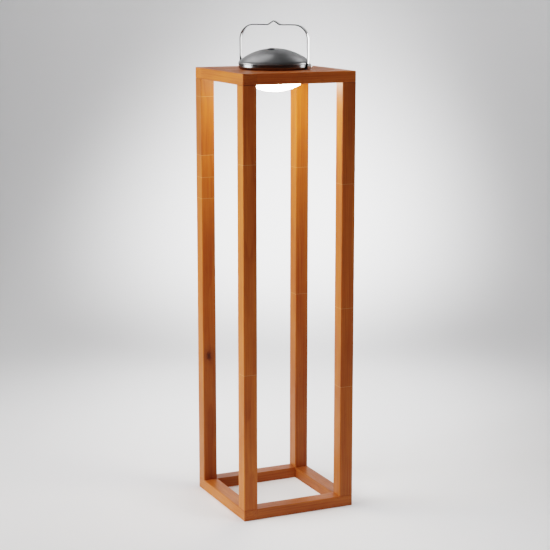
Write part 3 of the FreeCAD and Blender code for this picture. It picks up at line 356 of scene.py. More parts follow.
@dataclass(frozen=True)
class WoodFinish:
    """Satin oiled reddish hardwood on one piece, with its own grain, staves and seams.

    The tone of each stave is multiplied by tone, which is mostly painted shade on pieces whose
    faces get less light, and by foot, painted shade that darkens the piece towards the floor.
    """

    name: str
    grain: Grain
    ends: Pair
    light: Triple = (0.425, 0.115, 0.021)
    dark: Triple = (0.237, 0.048, 0.008)
    pith: Pair = (0.06, 0.045)
    ring_spacing: float = 0.0042
    ring_strength: float = 0.34
    # Mostly painted shade: below one on pieces whose faces get less light, with a little tone that differs
    # from piece to piece.
    tone: float = 1.0
    # Painted shade: how dark the piece gets at the floor.
    foot: float = 1.0
    breaks: tuple[float, float, float, float] = (NO_END, NO_END, NO_END, NO_END)
    knot: Triple | None = None
    seed: float = 0.0
    knot_size: Triple = (0.0085, 0.012, 0.013)
    halo: Triple = (0.17, 0.045, 0.012)
    core: Triple = (0.045, 0.014, 0.006)
    glue: Triple = (0.58, 0.30, 0.13)
    # Painted shade in the joints at the piece's ends.
    joint_shade: Triple = (0.035, 0.012, 0.006)
    fibre_strength: float = 0.42
    stave_tones: Pair = (0.80, 1.12)
    stave_shift: Triple = (0.05, 0.03, 0.0)
    # Heights in metres over which the painted shade near the floor fades out.
    foot_shade_zone: Pair = (0.03, 0.50)
    specular: float = 0.2

    def build(self) -> Material:
        """Makes the material.

        Returns:
            The finished material.
        """
        material, tree, shader = new_material(self.name)
        place = tree.add("TexCoord").outputs["Object"]
        axis, turn = self.grain.value
        turned = tree.add("Mapping", {"Vector": place, "Rotation": turn}).outputs[0]
        along = tree.add("Mapping", {"Vector": turned, "Location": (*self.pith, self.seed)}).outputs[0]
        apart = tree.add("SeparateXYZ", {0: place}).outputs
        breaks = {f"Break_{number}": at for number, at in enumerate(self.breaks, 1)}
        line, stave = GluedStaves.place(tree, Along=apart[axis], **breaks).outputs
        moved = tree.add("VectorMath", {0: stave, 1: self.stave_shift, 2: along}, operation="MULTIPLY_ADD")
        grain = WoodGrain.place(tree, Vector=moved.outputs[0], Light=(*self.light, 1.0),
                                Dark=(*self.dark, 1.0), Ring_Spacing=self.ring_spacing,
                                Ring_Strength=self.ring_strength, Fibre_Strength=self.fibre_strength)
        # Stave tone times the piece's tone, which is mostly painted shade.
        tone = tree.spread(stave, 0.0, 1.0, *(share * self.tone for share in self.stave_tones))
        # Painted shade, darker towards the floor.
        tone = tree.math("MULTIPLY", tone, tree.spread(apart[2], *self.foot_shade_zone, self.foot, 1.0))
        colour = tree.add("HueSaturation", {"Value": tone, "Color": grain.outputs["Color"]}).outputs[0]
        colour = tree.tint(line, 0.55, colour, self.glue)
        if self.knot:
            knot = Knot.place(tree, Vector=place, Centre=self.knot, Size=self.knot_size)
            colour = tree.tint(knot.outputs["Halo"], 0.45, colour, self.halo)
            colour = tree.tint(knot.outputs["Core"], 0.85, colour, self.core)
        # Painted shade along the ends, where the piece butts against its neighbours.
        seam = EndSeam.place(tree, Along=apart[axis], Low_End=self.ends[0], High_End=self.ends[1])
        colour = tree.tint(seam.outputs["Line"], 0.75, colour, self.joint_shade)
        tree.cover(shader, colour, grain.outputs["Roughness"], grain.outputs["Height"], 0.12, 0.0004)
        tree.feed(shader, {"Specular IOR Level": self.specular})
        return material


@dataclass(frozen=True)
class PlasticFinish:
    """Moulded plastic, rubber or board with faint handling marks, and the base of the metals."""

    name: str
    colour: Triple
    roughness: float
    texture: float = 0.08
    metallic: float = 0.0
    smudge: float = 0.12
    marks: float = 90.0
    shade: float = 0.8

    def build(self) -> Material:
        """Makes the material.

        Returns:
            The finished material.
        """
        material, tree, shader = new_material(self.name)
        place = tree.add("TexCoord").outputs["Object"]
        wear = Wear.place(tree, Vector=place, Size=self.marks, Strength=self.smudge)
        colour = tree.mix(wear.outputs["Tone"], self.colour, tuple(self.shade * c for c in self.colour))
        rough = tree.math("ADD", wear.outputs["Roughness"], self.roughness, clamp=True)
        tree.cover(shader, colour, rough, wear.outputs["Height"], self.texture, 0.0002)
        tree.feed(shader, {"Metallic": self.metallic})
        return material


@dataclass(frozen=True)
class MetalFinish(PlasticFinish):
    """Painted, plated or polished metal, with larger and fainter marks."""

    roughness: float = 0.3
    texture: float = 0.02
    metallic: float = 1.0
    smudge: float = 0.1
    marks: float = 38.0
    shade: float = 0.86


@dataclass(frozen=True)
class BrushedSteel:
    """Stainless steel with fine brush marks along the strip, read from the strip's own flow."""

    name: str
    colour: Triple = (0.57, 0.57, 0.572)
    roughness: float = 0.10
    half_width: float = 0.0045
    brush_scale: Triple = (14.0, 2600.0, 2600.0)

    def build(self) -> Material:
        """Makes the material: the cut edges are darkened as a painted dark reflection, and the side inside
        the loop as painted shade.

        Returns:
            The finished material.
        """
        material, tree, shader = new_material(self.name)
        flow = tree.add("Attribute", attribute_name="flow").outputs["Vector"]
        apart = tree.add("SeparateXYZ", {0: flow}).outputs
        marks = tree.noise(flow, self.brush_scale, 3.0)
        wear = Wear.place(tree, Vector=flow, Size=60.0, Strength=0.10)
        fine = tree.spread(marks, 0.3, 0.7)
        # Painted shade on the side inside the loop.
        inside = tree.spread(apart[2], -0.0003, -0.0008)
        colour: object = self.colour
        # Painted dark reflection along the cut edges.
        across = tree.math("ABSOLUTE", apart[1])
        edge = tree.spread(across, self.half_width - 0.0011, self.half_width - 0.0003)
        for mask, shade in ((fine, 0.78), (inside, 0.36), (edge, 0.18)):
            colour = tree.mix(mask, colour, tuple(shade * c for c in self.colour))
        rough = tree.math("ADD", tree.math("MULTIPLY", fine, 0.06), self.roughness)
        rough = tree.math("ADD", rough, wear.outputs["Roughness"], clamp=True)
        tree.cover(shader, colour, rough, marks, 0.10, 0.0001)
        tree.feed(shader, {"Metallic": 1.0})
        return material


@dataclass(frozen=True)
class OpalFinish:
    """Milky plastic lit from inside: brightest at the bottom and warmer towards its rim."""

    name: str = "Opal bowl"
    low: float = 0.8735
    high: float = 0.904
    strength: float = 52.0
    roughness: float = 0.38

    def build(self) -> Material:
        """Makes the material, with the glow's colour read from the height.

        Returns:
            The finished material.
        """
        material, tree, shader = new_material(self.name)
        place = tree.add("TexCoord").outputs["Object"]
        height = tree.add("SeparateXYZ", {0: place}).outputs[2]
        rim = tree.spread(height, self.low, self.high)
        glow = tree.mix(rim, (1.0, 0.92, 0.79), (1.0, 0.82, 0.60))
        colour = tree.mix(rim, (0.90, 0.88, 0.83), (0.86, 0.82, 0.74))
        tree.feed(shader, {"Base Color": colour, "Roughness": self.roughness, "Emission Color": glow,
                           "Emission Strength": self.strength})
        return material


# The object


def dress(finish: object, *nodes: str) -> Material:
    """Gives CAD nodes a finish.

    Args:
        finish: A finish of one of the classes above.
        *nodes: The nodes' names.

    Returns:
        The finish's material.
    """
    material = finish.build()
    for node in nodes:
        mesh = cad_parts[node].data
        mesh.materials.clear()
        mesh.materials.append(material)
        log.info("%s wears %s", node, material.name)
    return material


@dataclass
class WoodenFrame:
    """Four posts between two pinwheel frames, and the top panel."""

    half: float = 0.125
    post: float = 0.030
    rail: float = 0.023
    panel_lap: float = 0.008

    def dress(self) -> None:
        """Gives each wooden piece grain of its own."""
        ends = (self.rail, WOOD_TOP - self.rail)
        # Tone is mostly painted shade on posts whose faces get less light; foot is painted shade towards the
        # floor.
        posts = {
            "front_left": dict(pith=(0.070, 0.020), seed=1.3, breaks=(0.31, 0.74, NO_END, NO_END),
                               foot=0.93),
            "front_right": dict(pith=(0.035, 0.065), seed=4.1, breaks=(0.262, 0.43, 0.69, NO_END),
                                tone=0.98, foot=0.78),
            "back_left": dict(pith=(0.055, 0.050), seed=7.7, breaks=(0.645, 0.690, 0.737, 0.860), tone=0.87,
                              foot=0.78, knot=(-0.112, 0.094, 0.302)),
            "back_right": dict(pith=(0.080, 0.012), seed=2.9, breaks=(0.42, 0.70, NO_END, NO_END),
                               tone=0.92, foot=0.82),
        }
        for corner, looks in posts.items():
            dress(WoodFinish(f"Post {corner}", Grain.UP, ends=ends, **looks), f"post_{corner}")
        inner = self.half - self.post
        # Each rail's tone is mostly painted shade on rails whose faces get less light.
        rails = {"base": (11.0, (0.82, 0.66, 0.76, 0.88)), "top": (23.0, (1.0, 1.0, 0.92, 0.84))}
        for level, (seed, tones_and_shade) in rails.items():
            for number, side in enumerate(("front", "right", "back", "left")):
                grain = Grain.ACROSS if side in ("front", "back") else Grain.DEEP
                butt = -inner if side in ("front", "right") else inner
                dress(WoodFinish(f"Rail {level} {side}", grain, pith=(0.05 + 0.01 * number, 0.03),
                                 ends=(butt, NO_END), seed=seed + number, tone=tones_and_shade[number]),
                      f"{level}_rail_{side}")
        reach = inner + self.panel_lap
        # The top panel's tone darkens it as painted shade.
        dress(WoodFinish("Top panel", Grain.ACROSS, pith=(0.02, -0.86), ring_spacing=0.009,
                         ends=(-reach, reach), seed=31.0, tone=0.82), "top_panel")
        dress(WoodFinish("Dowel", Grain.UP, light=(0.62, 0.42, 0.24), dark=(0.42, 0.25, 0.12),
                         ends=(NO_END, NO_END)),
              "base_post_dowels", "top_post_dowels", "base_rail_dowels", "top_rail_dowels")


class Shell:
    """One or more closed skins that become one mesh, each a grid of rows with every row a ring."""

    def __init__(self) -> None:
        """Starts without skins."""
        self.points: list[np.ndarray] = []
        self.faces: list[list[int]] = []
        self.flow: list[np.ndarray] = []
        self.count = 0

    def skin(self, rows: np.ndarray, tips: np.ndarray | list | None = None,
             flow: np.ndarray | None = None) -> None:
        """Adds a skin whose rows are closed rings, with faces outwards, and sets it on the wood.

        The skin's signed volume is a sixth of the sum over its triangles of a . (b x c). Where it is
        negative, the faces are turned round.

        Args:
            rows: Points as rows x columns x 3, in the head's frame.
            tips: The poles before the first row and after the last. Without them the last row joins
                the first, as on a tube bent into a ring.
            flow: A coordinate that follows the surface, shaped like rows.
        """
        count, across = rows.shape[:2]
        below = np.arange(count if tips is None else count - 1)[:, None]
        column = np.arange(across)
        beside = (column + 1) % across
        low, high = below * across, (below + 1) % count * across
        quads = np.stack([low + column, low + beside, high + beside, high + column], -1).reshape(-1, 4)
        points = on_head(rows).reshape(-1, 3)
        triangles = np.empty((0, 3), int)
        if tips is not None:
            tip, last = np.full(across, count * across), (count - 1) * across
            triangles = np.concatenate([np.stack([tip, beside, column], -1),
                                        np.stack([tip + 1, last + column, last + beside], -1)])
            points = np.concatenate([points, on_head(np.asarray(tips))])
        split = np.concatenate([quads[:, [0, 1, 2]], quads[:, [0, 2, 3]], triangles])
        corner = points[split] - points.mean(0)
        if np.einsum("ij,ij->", corner[:, 0], np.cross(corner[:, 1], corner[:, 2])) < 0:
            quads, triangles = quads[:, ::-1], triangles[:, ::-1]
        self.faces += (quads + self.count).tolist() + (triangles + self.count).tolist()
        self.points.append(points)
        along = np.zeros_like(points)
        if flow is not None:
            along[:count * across] = flow.reshape(-1, 3)
        self.flow.append(along)
        self.count += len(points)

    def finish(self, name: str, sharp: float = 35.0) -> Object:
        """Makes the mesh and its object.

        Args:
            name: The piece's name.
            sharp: Edges bent by more degrees than this stay crisp.

        Returns:
            The new object, linked to the scene.
        """
        mesh = bpy.data.meshes.new(name)
        mesh.from_pydata(np.concatenate(self.points).tolist(), [], self.faces)
        layer = mesh.attributes.new("flow", "FLOAT_VECTOR", "POINT")
        layer.data.foreach_set("vector", np.concatenate(self.flow).astype(np.float32).ravel())
        mesh.shade_smooth()
        mesh.set_sharp_from_angle(angle=math.radians(sharp))
        mesh.validate()
        piece = bpy.data.objects.new(name, mesh)
        bpy.context.scene.collection.objects.link(piece)
        return piece


def on_head(points: np.ndarray) -> np.ndarray:
    """Turns points from the head's frame by the head's angle about Z and lifts them onto the wood."""
    return points @ HEAD_AXES + np.array([0.0, 0.0, WOOD_TOP])


def rings(radius: np.ndarray, height: np.ndarray, tilt: np.ndarray | float = 0.0, centre: float = 0.0,
          columns: int = 144) -> np.ndarray:
    """Circles round an axis that leans from Z towards -Y and passes through a centre on Z.

    A point at angle t is centre + height * n + radius * (cos t * u + sin t * v), with the axis
    n = (0, -sin tilt, cos tilt), u = X and v = (0, cos tilt, sin tilt).

    Args:
        radius: One radius for each ring.
        height: The ring's distance from the centre along the axis.
        tilt: The axis's lean in radians, one value or one for each ring.
        centre: The height of the centre.
        columns: Points on a ring.

    Returns:
        Points as rings x columns x 3, in the head's frame.
    """
    lean = np.broadcast_to(np.asarray(tilt, float), np.shape(radius))[:, None, None]
    t = np.linspace(0.0, 2 * np.pi, columns, endpoint=False)[None, :, None]
    axis = np.concatenate([0 * lean, -np.sin(lean), np.cos(lean)], -1)
    side = np.concatenate([0 * lean, np.cos(lean), np.sin(lean)], -1)
    out = np.array([1.0, 0.0, 0.0]) * np.cos(t) + side * np.sin(t)
    points = np.asarray(height)[:, None, None] * axis + np.asarray(radius)[:, None, None] * out
    return points + np.array([0.0, 0.0, centre])


def corner_arc(centre: Pair, radius: float, start: float, end: float, count: int) -> np.ndarray:
    """Profile points (radius, height) on an arc: centre + radius * (sin a, cos a) for angles a in degrees."""
    a = np.radians(np.linspace(start, end, count))
    return np.stack([centre[0] + radius * np.sin(a), centre[1] + radius * np.cos(a)], -1)


def round_pivot(radius: np.ndarray, reach: np.ndarray, height: float, columns: int) -> np.ndarray:
    """Circles round the bail's axis: (reach, radius * cos t, height + radius * sin t) at angle t.

    Args:
        radius: One radius for each circle.
        reach: Each circle's place along the axis.
        height: The height of the axis.
        columns: Points on a circle.

    Returns:
        Points as circles x columns x 3, in the head's frame.
    """
    t = np.linspace(0.0, 2 * np.pi, columns, endpoint=False)
    return np.stack(np.broadcast_arrays(reach[:, None], radius[:, None] * np.cos(t),
                                        height + radius[:, None] * np.sin(t)), -1)


def hand_over(piece: Object, node: str, body: str, finish: object) -> None:
    """Dresses a new piece and the CAD node that it stands for, and puts it in the node's stead.

    Args:
        piece: The new piece.
        node: The CAD node that it stands for.
        body: The body that it moves with.
        finish: Its finish.
    """
    piece.data.materials.append(dress(finish, node))
    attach(piece, body)
    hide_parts(node)
    log.info("%s stands for %s, %d faces", piece.name, node, len(piece.data.polygons))


@dataclass
class Dome:
    """The domed cap: part of a sphere, a round shoulder and a short wall, with a hole for the button."""

    radius: float = 0.074
    seam: float = 0.0115
    edge: float = 0.0153
    rise: float = 0.027
    shoulder: float = 0.006944
    wall: float = 0.0018
    hole: float = 0.0082
    hole_edge: float = 0.0004
    button_distance: float = 0.0165
    lip_outer: float = 0.0724
    lip_inner: float = 0.0712
    lip_foot: float = 0.0096
    foot_edge: float = 0.0003
    sphere: float = field(init=False)
    centre: float = field(init=False)
    tilt: float = field(init=False)

    def __post_init__(self) -> None:
        """Works out the sphere through the edge and the apex, and the lean of the button's axis."""
        self.sphere = (self.radius ** 2 + self.rise ** 2) / (2 * self.rise)
        self.centre = self.edge + self.rise - self.sphere
        self.tilt = math.asin(self.button_distance / self.sphere)

    def cap(self, sphere: float, first: float, last: float, count: int) -> tuple[np.ndarray, ...]:
        """Circles on a sphere that start round the button's axis and end round the head's.

        The angular radius grows evenly from first to last while the axis's lean fades as (1 - s)
        squared, so that each circle lies outside the one before it.

        Args:
            sphere: The sphere's radius.
            first: Angular radius of the first circle, in radians.
            last: Angular radius of the last.
            count: How many circles.

        Returns:
            Radius, height and tilt of each circle.
        """
        s = np.linspace(0.0, 1.0, count)
        angle = first + (last - first) * s
        return sphere * np.sin(angle), sphere * np.cos(angle), self.tilt * (1.0 - s) ** 2

    def build(self) -> Object:
        """Makes the closed shell: hole, sphere, shoulder, wall, lip, then back along the inside.

        Returns:
            The piece.
        """
        inner = self.sphere - self.wall
        shoulder_centre = math.sqrt((self.sphere - self.shoulder) ** 2 - (self.radius - self.shoulder) ** 2)
        touch = math.asin((self.radius - self.shoulder) / (self.sphere - self.shoulder))
        rim = self.hole + self.hole_edge
        rim_height = math.sqrt(self.sphere ** 2 - rim ** 2)
        hole_edge = corner_arc((rim, rim_height - self.hole_edge), self.hole_edge, -90.0, 0.0, 6)
        outer = self.cap(self.sphere, math.asin(rim / self.sphere), touch, 48)
        bend = corner_arc((self.radius - self.shoulder, shoulder_centre), self.shoulder,
                          math.degrees(touch), 90.0, 18)[1:]
        foot = self.seam - self.centre
        small = self.foot_edge
        turn = corner_arc((self.radius - small, foot + small), small, 90.0, 180.0, 5)
        lip = np.array([[self.lip_outer, foot], [self.lip_outer, self.lip_foot - self.centre],
                        [self.lip_inner, self.lip_foot - self.centre]])
        back = self.cap(inner, math.asin(self.hole / inner), math.asin(self.lip_inner / inner), 40)
        upright = np.concatenate([bend, turn, lip])
        radius = np.concatenate([hole_edge[:, 0], outer[0][1:], upright[:, 0], back[0][::-1]])
        height = np.concatenate([hole_edge[:, 1], outer[1][1:], upright[:, 1], back[1][::-1]])
        leaning = np.full(len(hole_edge), self.tilt)
        tilt = np.concatenate([leaning, outer[2][1:], np.zeros(len(upright)), back[2][::-1]])
        shell = Shell()
        shell.skin(rings(radius, height, tilt, self.centre, 192))
        return shell.finish("domed_cap")


@dataclass
class Button:
    """The round push button with its flange and stem, on the dome's leaning axis."""

    dome: Dome
    radius: float = 0.008
    proud: float = 0.0015
    crown: float = 0.0006
    flange: float = 0.0095
    flange_top: float = 0.00365
    flange_foot: float = 0.00465
    stem: float = 0.002
    stem_end: float = 0.0065
    edge: float = 0.0004
    groove: float = 0.00014
    groove_place_share: float = 0.80
    groove_width_share: float = 0.03

    def build(self) -> Object:
        """Turns the button's profile round its axis: a shallow crown with a ring groove, flange and stem.

        The crown falls by crown * (r / radius) squared, and the groove is a bell curve whose place
        and width are shares of the radius.

        Returns:
            The piece.
        """
        r = np.linspace(0.0002, self.radius - self.edge, 40)
        share = r / self.radius
        groove = self.groove * np.exp(-((share - self.groove_place_share) / self.groove_width_share) ** 2)
        top = np.stack([r, self.proud - self.crown * share ** 2 - groove], -1)
        edge = corner_arc((self.radius - self.edge, top[-1, 1] - self.edge), self.edge, 0.0, 90.0, 7)[1:]
        rest = np.array([[self.radius, -self.flange_top], [self.flange, -self.flange_top],
                         [self.flange, -self.flange_foot], [self.stem, -self.flange_foot],
                         [self.stem, -self.stem_end]])
        profile = np.concatenate([top, edge, rest])
        height = self.dome.sphere + profile[:, 1]
        poles = self.dome.sphere + np.array([self.proud, -self.stem_end])
        shell = Shell()
        shell.skin(rings(profile[:, 0], height, self.dome.tilt, self.dome.centre, 96),
                   rings(np.zeros(2), poles, self.dome.tilt, self.dome.centre, 3)[:, 0])
        return shell.finish("push_button")


@dataclass
class Bowl:
    """The opal bowl: a shallow round bottom, a short wall and a neck that goes up into the sleeve."""

    radius: float = 0.064
    step: float = -0.017
    bottom: float = -0.0465
    sphere: float = 0.10409
    edge: float = 0.006
    wall: float = 0.0022
    neck_outer: float = 0.0618
    neck_inner: float = 0.0598
    neck_top: float = -0.009
    rim_edge: float = 0.0004
    tip_angle: float = 0.004

    def build(self) -> Object:
        """Turns the bowl's profile round the head's axis, outside first and then the inside.

        Returns:
            The piece.
        """
        centre = self.bottom + self.sphere
        reach = self.radius - self.edge
        rise = math.sqrt((self.sphere - self.edge) ** 2 - reach ** 2)
        touch = math.asin(reach / (self.sphere - self.edge))
        a = np.linspace(self.tip_angle, touch, 40)
        outside = np.stack([self.sphere * np.sin(a), centre - self.sphere * np.cos(a)], -1)
        bend = corner_arc((reach, centre - rise), self.edge, 180.0 - math.degrees(touch), 90.0, 14)[1:]
        small = self.rim_edge
        top = corner_arc((self.radius - small, self.step - small), small, 90.0, 0.0, 5)
        neck = np.array([[self.neck_outer, self.step], [self.neck_outer, self.neck_top],
                         [self.neck_inner, self.neck_top]])
        inner = self.sphere - self.wall
        b = np.linspace(math.asin(self.neck_inner / inner), self.tip_angle, 36)
        inside = np.stack([inner * np.sin(b), centre - inner * np.cos(b)], -1)
        profile = np.concatenate([outside, bend, top, neck, inside])
        shell = Shell()
        shell.skin(rings(*profile.T), [[0.0, 0.0, self.bottom], [0.0, 0.0, self.bottom + self.wall]])
        return shell.finish("milky_bowl")


@dataclass
class Bail:
    """The bail: a flat steel strip bent over twice, with a hanging notch, and an eye at each end."""

    half_span: float = 0.0753
    foot: float = 0.0063
    bar: float = 0.090
    notch_foot: float = 0.013
    notch_peak: float = 0.098
    corner: float = 0.030
    bend: float = 0.003
    thickness: float = 0.002
    width: float = 0.009
    round_over: float = 0.00025
    eye: float = 0.0057
    bore: float = 0.0018
    eye_edge: float = 0.0003
    eye_proud: float = 0.00002
    strip_end: float = 0.003
    run_step: float = 0.003
    arc_step: float = 0.0012

    def path(self) -> tuple[np.ndarray, np.ndarray, np.ndarray]:
        """The strip's centre line in the X-Z plane: straight runs joined by arcs.

        At a corner between unit directions a and b, an arc of radius r starts r * tan(turn / 2) before
        the corner and its centre lies r to the inner side of the run.

        Returns:
            Points, their in-plane normals, and the length along the line at each.
        """
        x, z = self.half_span, self.bar
        low = self.foot + self.strip_end
        corners = np.array([[-x, low], [-x, z], [-self.notch_foot, z], [0.0, self.notch_peak],
                            [self.notch_foot, z], [x, z], [x, low]])
        runs = np.diff(corners, axis=0)
        heading = runs / np.linalg.norm(runs, axis=1)[:, None]
        pieces, normals = [], []
        start = corners[0]
        for index, radius in enumerate((self.corner, self.bend, self.bend, self.bend, self.corner)):
            before, after = heading[index], heading[index + 1]
            cross = before[0] * after[1] - before[1] * after[0]
            turn = math.atan2(cross, float(before @ after))
            corner = corners[index + 1]
            first = corner - before * radius * math.tan(abs(turn) / 2)
            left = np.array([-before[1], before[0]])
            run = np.linspace(start, first, max(3, int(np.linalg.norm(first - start) / self.run_step)))[:-1]
            swing = np.linspace(0.0, turn, max(7, int(abs(turn) * radius / self.arc_step)))
            arm = radius * math.copysign(1.0, turn)
            leaning = np.outer(np.cos(swing), left) - np.outer(np.sin(swing), before)
            pieces += [run, first + left * arm - leaning * arm]
            normals += [np.broadcast_to(left, run.shape), leaning]
            start = corner + after * radius * math.tan(abs(turn) / 2)
        run = np.linspace(start, corners[-1], 24)
        pieces.append(run)
        normals.append(np.broadcast_to([-heading[-1][1], heading[-1][0]], run.shape))
        points = np.concatenate(pieces)
        length = np.concatenate([[0.0], np.cumsum(np.linalg.norm(np.diff(points, axis=0), axis=1))])
        return points, np.concatenate(normals), length

    def section(self) -> np.ndarray:
        """The strip's cross-section: a rectangle with four quarter-circle corners.

        Returns:
            Points (across, thick), anticlockwise from the right side.
        """
        r = self.round_over
        wide, thick = self.width / 2 - r, self.thickness / 2 - r
        centres = ((wide, thick), (-wide, thick), (-wide, -thick), (wide, -thick))
        return np.concatenate([corner_arc(centre, r, 90.0 - 90.0 * turn, -90.0 * turn, 6)
                               for turn, centre in enumerate(centres)])

    def build(self) -> Object:
        """Carries the section along the line, and turns a round-edged washer shape for each eye.

        Returns:
            The piece.
        """
        line, normal, length = self.path()
        shape = self.section()
        across, thick = shape.T[:, None]
        x, z = (line[:, None, axis] + normal[:, None, axis] * thick for axis in (0, 1))
        shell = Shell()
        shell.skin(np.stack(np.broadcast_arrays(x, across, z), -1), np.insert(line[[0, -1]], 1, 0.0, axis=1),
                   np.stack(np.broadcast_arrays(length[:, None], across, thick), -1))
        r = self.eye_edge
        out = self.thickness / 2 + self.eye_proud - r
        centres = ((self.eye - r, out), (self.eye - r, -out), (self.bore + r, -out), (self.bore + r, out))
        profile = np.concatenate([corner_arc(centre, r, 90.0 * quarter, 90.0 * quarter + 90.0, 5)
                                  for quarter, centre in enumerate(centres)])
        for side in (-1, 1):
            eye = round_pivot(profile[:, 0], side * self.half_span + profile[:, 1], self.foot, 48)
            shell.skin(eye, flow=eye[..., ::-1] * (1.0, 1.0, 0.0))
        return shell.finish("bail_strip", 50.0)


@dataclass
class PivotScrews:
    """A ball-headed screw at each end of the bail's axis."""

    height: float = 0.0063
    shank: float = 0.00175
    shank_start: float = 0.0648
    flat: float = 0.0764
    ball: float = 0.006
    ball_centre: float = 0.0778
    tip_angle: float = 1.5

    def build(self) -> Object:
        """Turns the screw's profile round the bail's axis, once to either side.

        Returns:
            The piece.
        """
        lowest = math.degrees(math.acos((self.flat - self.ball_centre) / self.ball))
        ball = corner_arc((0.0, self.ball_centre), self.ball, lowest, self.tip_angle, 30)
        profile = np.concatenate([[[self.shank, self.shank_start], [self.shank, self.flat]], ball])
        reach = (self.shank_start, self.ball_centre + self.ball)
        shell = Shell()
        for side in (-1, 1):
            shell.skin(round_pivot(profile[:, 0], side * profile[:, 1], self.height, 64),
                       [[side * end, 0.0, self.height] for end in reach])
        return shell.finish("ball_screws")


@dataclass
class LampHead:
    """The lamp head: ring, dome, bail, bowl and the boards inside."""

    dome: Dome = field(default_factory=Dome)

    def build(self) -> None:
        """Makes the smooth shapes and gives every node of the head its finish."""
        hand_over(self.dome.build(), "dome_cap", "lamp_head",
                  MetalFinish("Dome metal", (0.27, 0.27, 0.275), 0.33, 0.03, 0.85, 0.08))
        hand_over(Button(self.dome).build(), "power_button", "button",
                  MetalFinish("Button metal", (0.05, 0.05, 0.052), 0.30, 0.02, 0.7, 0.08))
        hand_over(Bowl().build(), "opal_bowl", "lamp_head", OpalFinish())
        hand_over(Bail().build(), "bail_handle", "bail", BrushedSteel("Bail steel"))
        hand_over(PivotScrews().build(), "pivot_screws", "lamp_head",
                  MetalFinish("Satin nickel", (0.97, 0.97, 0.96), 0.18, 0.0, 0.35, 0.04))
        dress(MetalFinish("Ring metal", (0.22, 0.225, 0.228), 0.24, 0.0, 1.0, 0.05), "head_base_ring")
        dress(MetalFinish("Zinc steel", (0.55, 0.55, 0.57), 0.35), "dome_screws", "switch_board_screws",
              "lamp_plate_screws", "board_screws", "board_spacers", "charging_socket")
        dress(MetalFinish("Bare aluminium", (0.78, 0.78, 0.80)), "lamp_plate")
        dress(MetalFinish("Cell film", (0.05, 0.12, 0.35), 0.28, 0.0, 0.2, 0.05), "battery_cells")
        dress(PlasticFinish("Seal rubber", (0.02, 0.02, 0.02), 0.75, 0.2), "bowl_seal", "port_plug")
        dress(PlasticFinish("Dark nylon", (0.025, 0.025, 0.027), 0.5), "pivot_washers", "battery_holder",
              "tact_switch", "switch_plunger")
        dress(PlasticFinish("Green board", (0.015, 0.11, 0.045), 0.35), "control_board", "switch_board")
        dress(PlasticFinish("White board", (0.80, 0.80, 0.77), 0.4), "led_board")
        dress(PlasticFinish("LED phosphor", (0.85, 0.62, 0.16), 0.3), "led_chips")


# Studio


@dataclass(frozen=True)
class Light:
    """A soft square light, or with a cone a soft spot that stays out of reflections.

    Where lit is False it is only a card that shows in the metal. Angles are full ones in degrees.
    """

    name: str
    place: Triple
    aim: Triple
    power: float
    size: float = 0.0
    spread: float = 180.0
    cone: float = 0.0
    mirrored: bool = True
    lit: bool = True

    def hang(self) -> None:
        """Adds the light to the scene and points it."""
        data = bpy.data.lights.new(self.name, "SPOT" if self.cone else "AREA")
        if self.cone:
            data.spot_size, data.spot_blend, data.shadow_soft_size = math.radians(self.cone), 1.0, 0.3
        else:
            data.size, data.spread = self.size, math.radians(self.spread)
        data.energy = self.power
        light = bpy.data.objects.new(self.name, data)
        light.visible_glossy, light.visible_diffuse = self.mirrored and not self.cone, self.lit
        turn = (Vector(self.aim) - Vector(self.place)).to_track_quat("-Z", "Y").to_matrix().to_4x4()
        light.matrix_world = Matrix.Translation(Vector(self.place)) @ turn
        bpy.context.scene.collection.objects.link(light)


LIGHTS = (
    Light("Key", (-2.25, 1.2, 0.85), (0.0, 0.0, 0.5), 17.5, 1.3, 100.0),
    Light("Left fill", (-2.6, 0.15, 1.4), (0.0, 0.0, 0.95), 38.0, 1.3, 104.0, mirrored=False),
    Light("Front fill", (-0.8, -3.6, 1.0), (0.0, 0.0, 0.5), 22.5, 1.6, mirrored=False),
    Light("Right card", (2.1, 0.1, 0.75), (0.0, 0.0, 0.9), 62.0, 1.8, lit=False),
    Light("Rear top", (-0.45, 1.5, 2.8), (0.0, 0.0, 0.9), 12.3, 1.7),
    Light("Right top", (1.8, 0.9, 2.5), (0.0, 0.0, 0.9), 5.0, 1.0, lit=False),
    Light("Near floor pool", (0.5, -0.8, 3.8), (0.12, -0.45, 0.0), 250.0, cone=21.0),
    Light("Floor pool", (0.2, 0.0, 3.8), (0.15, 0.2, 0.0), 215.0, cone=24.0),
    Light("Middle pool", (0.9, 1.5, 3.4), (0.40, 0.76, 0.0), 490.0, cone=25.0),
    Light("Backdrop pool", (0.9, 0.6, 3.4), (0.88, 1.92, 0.03), 1200.0, cone=24.0),
)


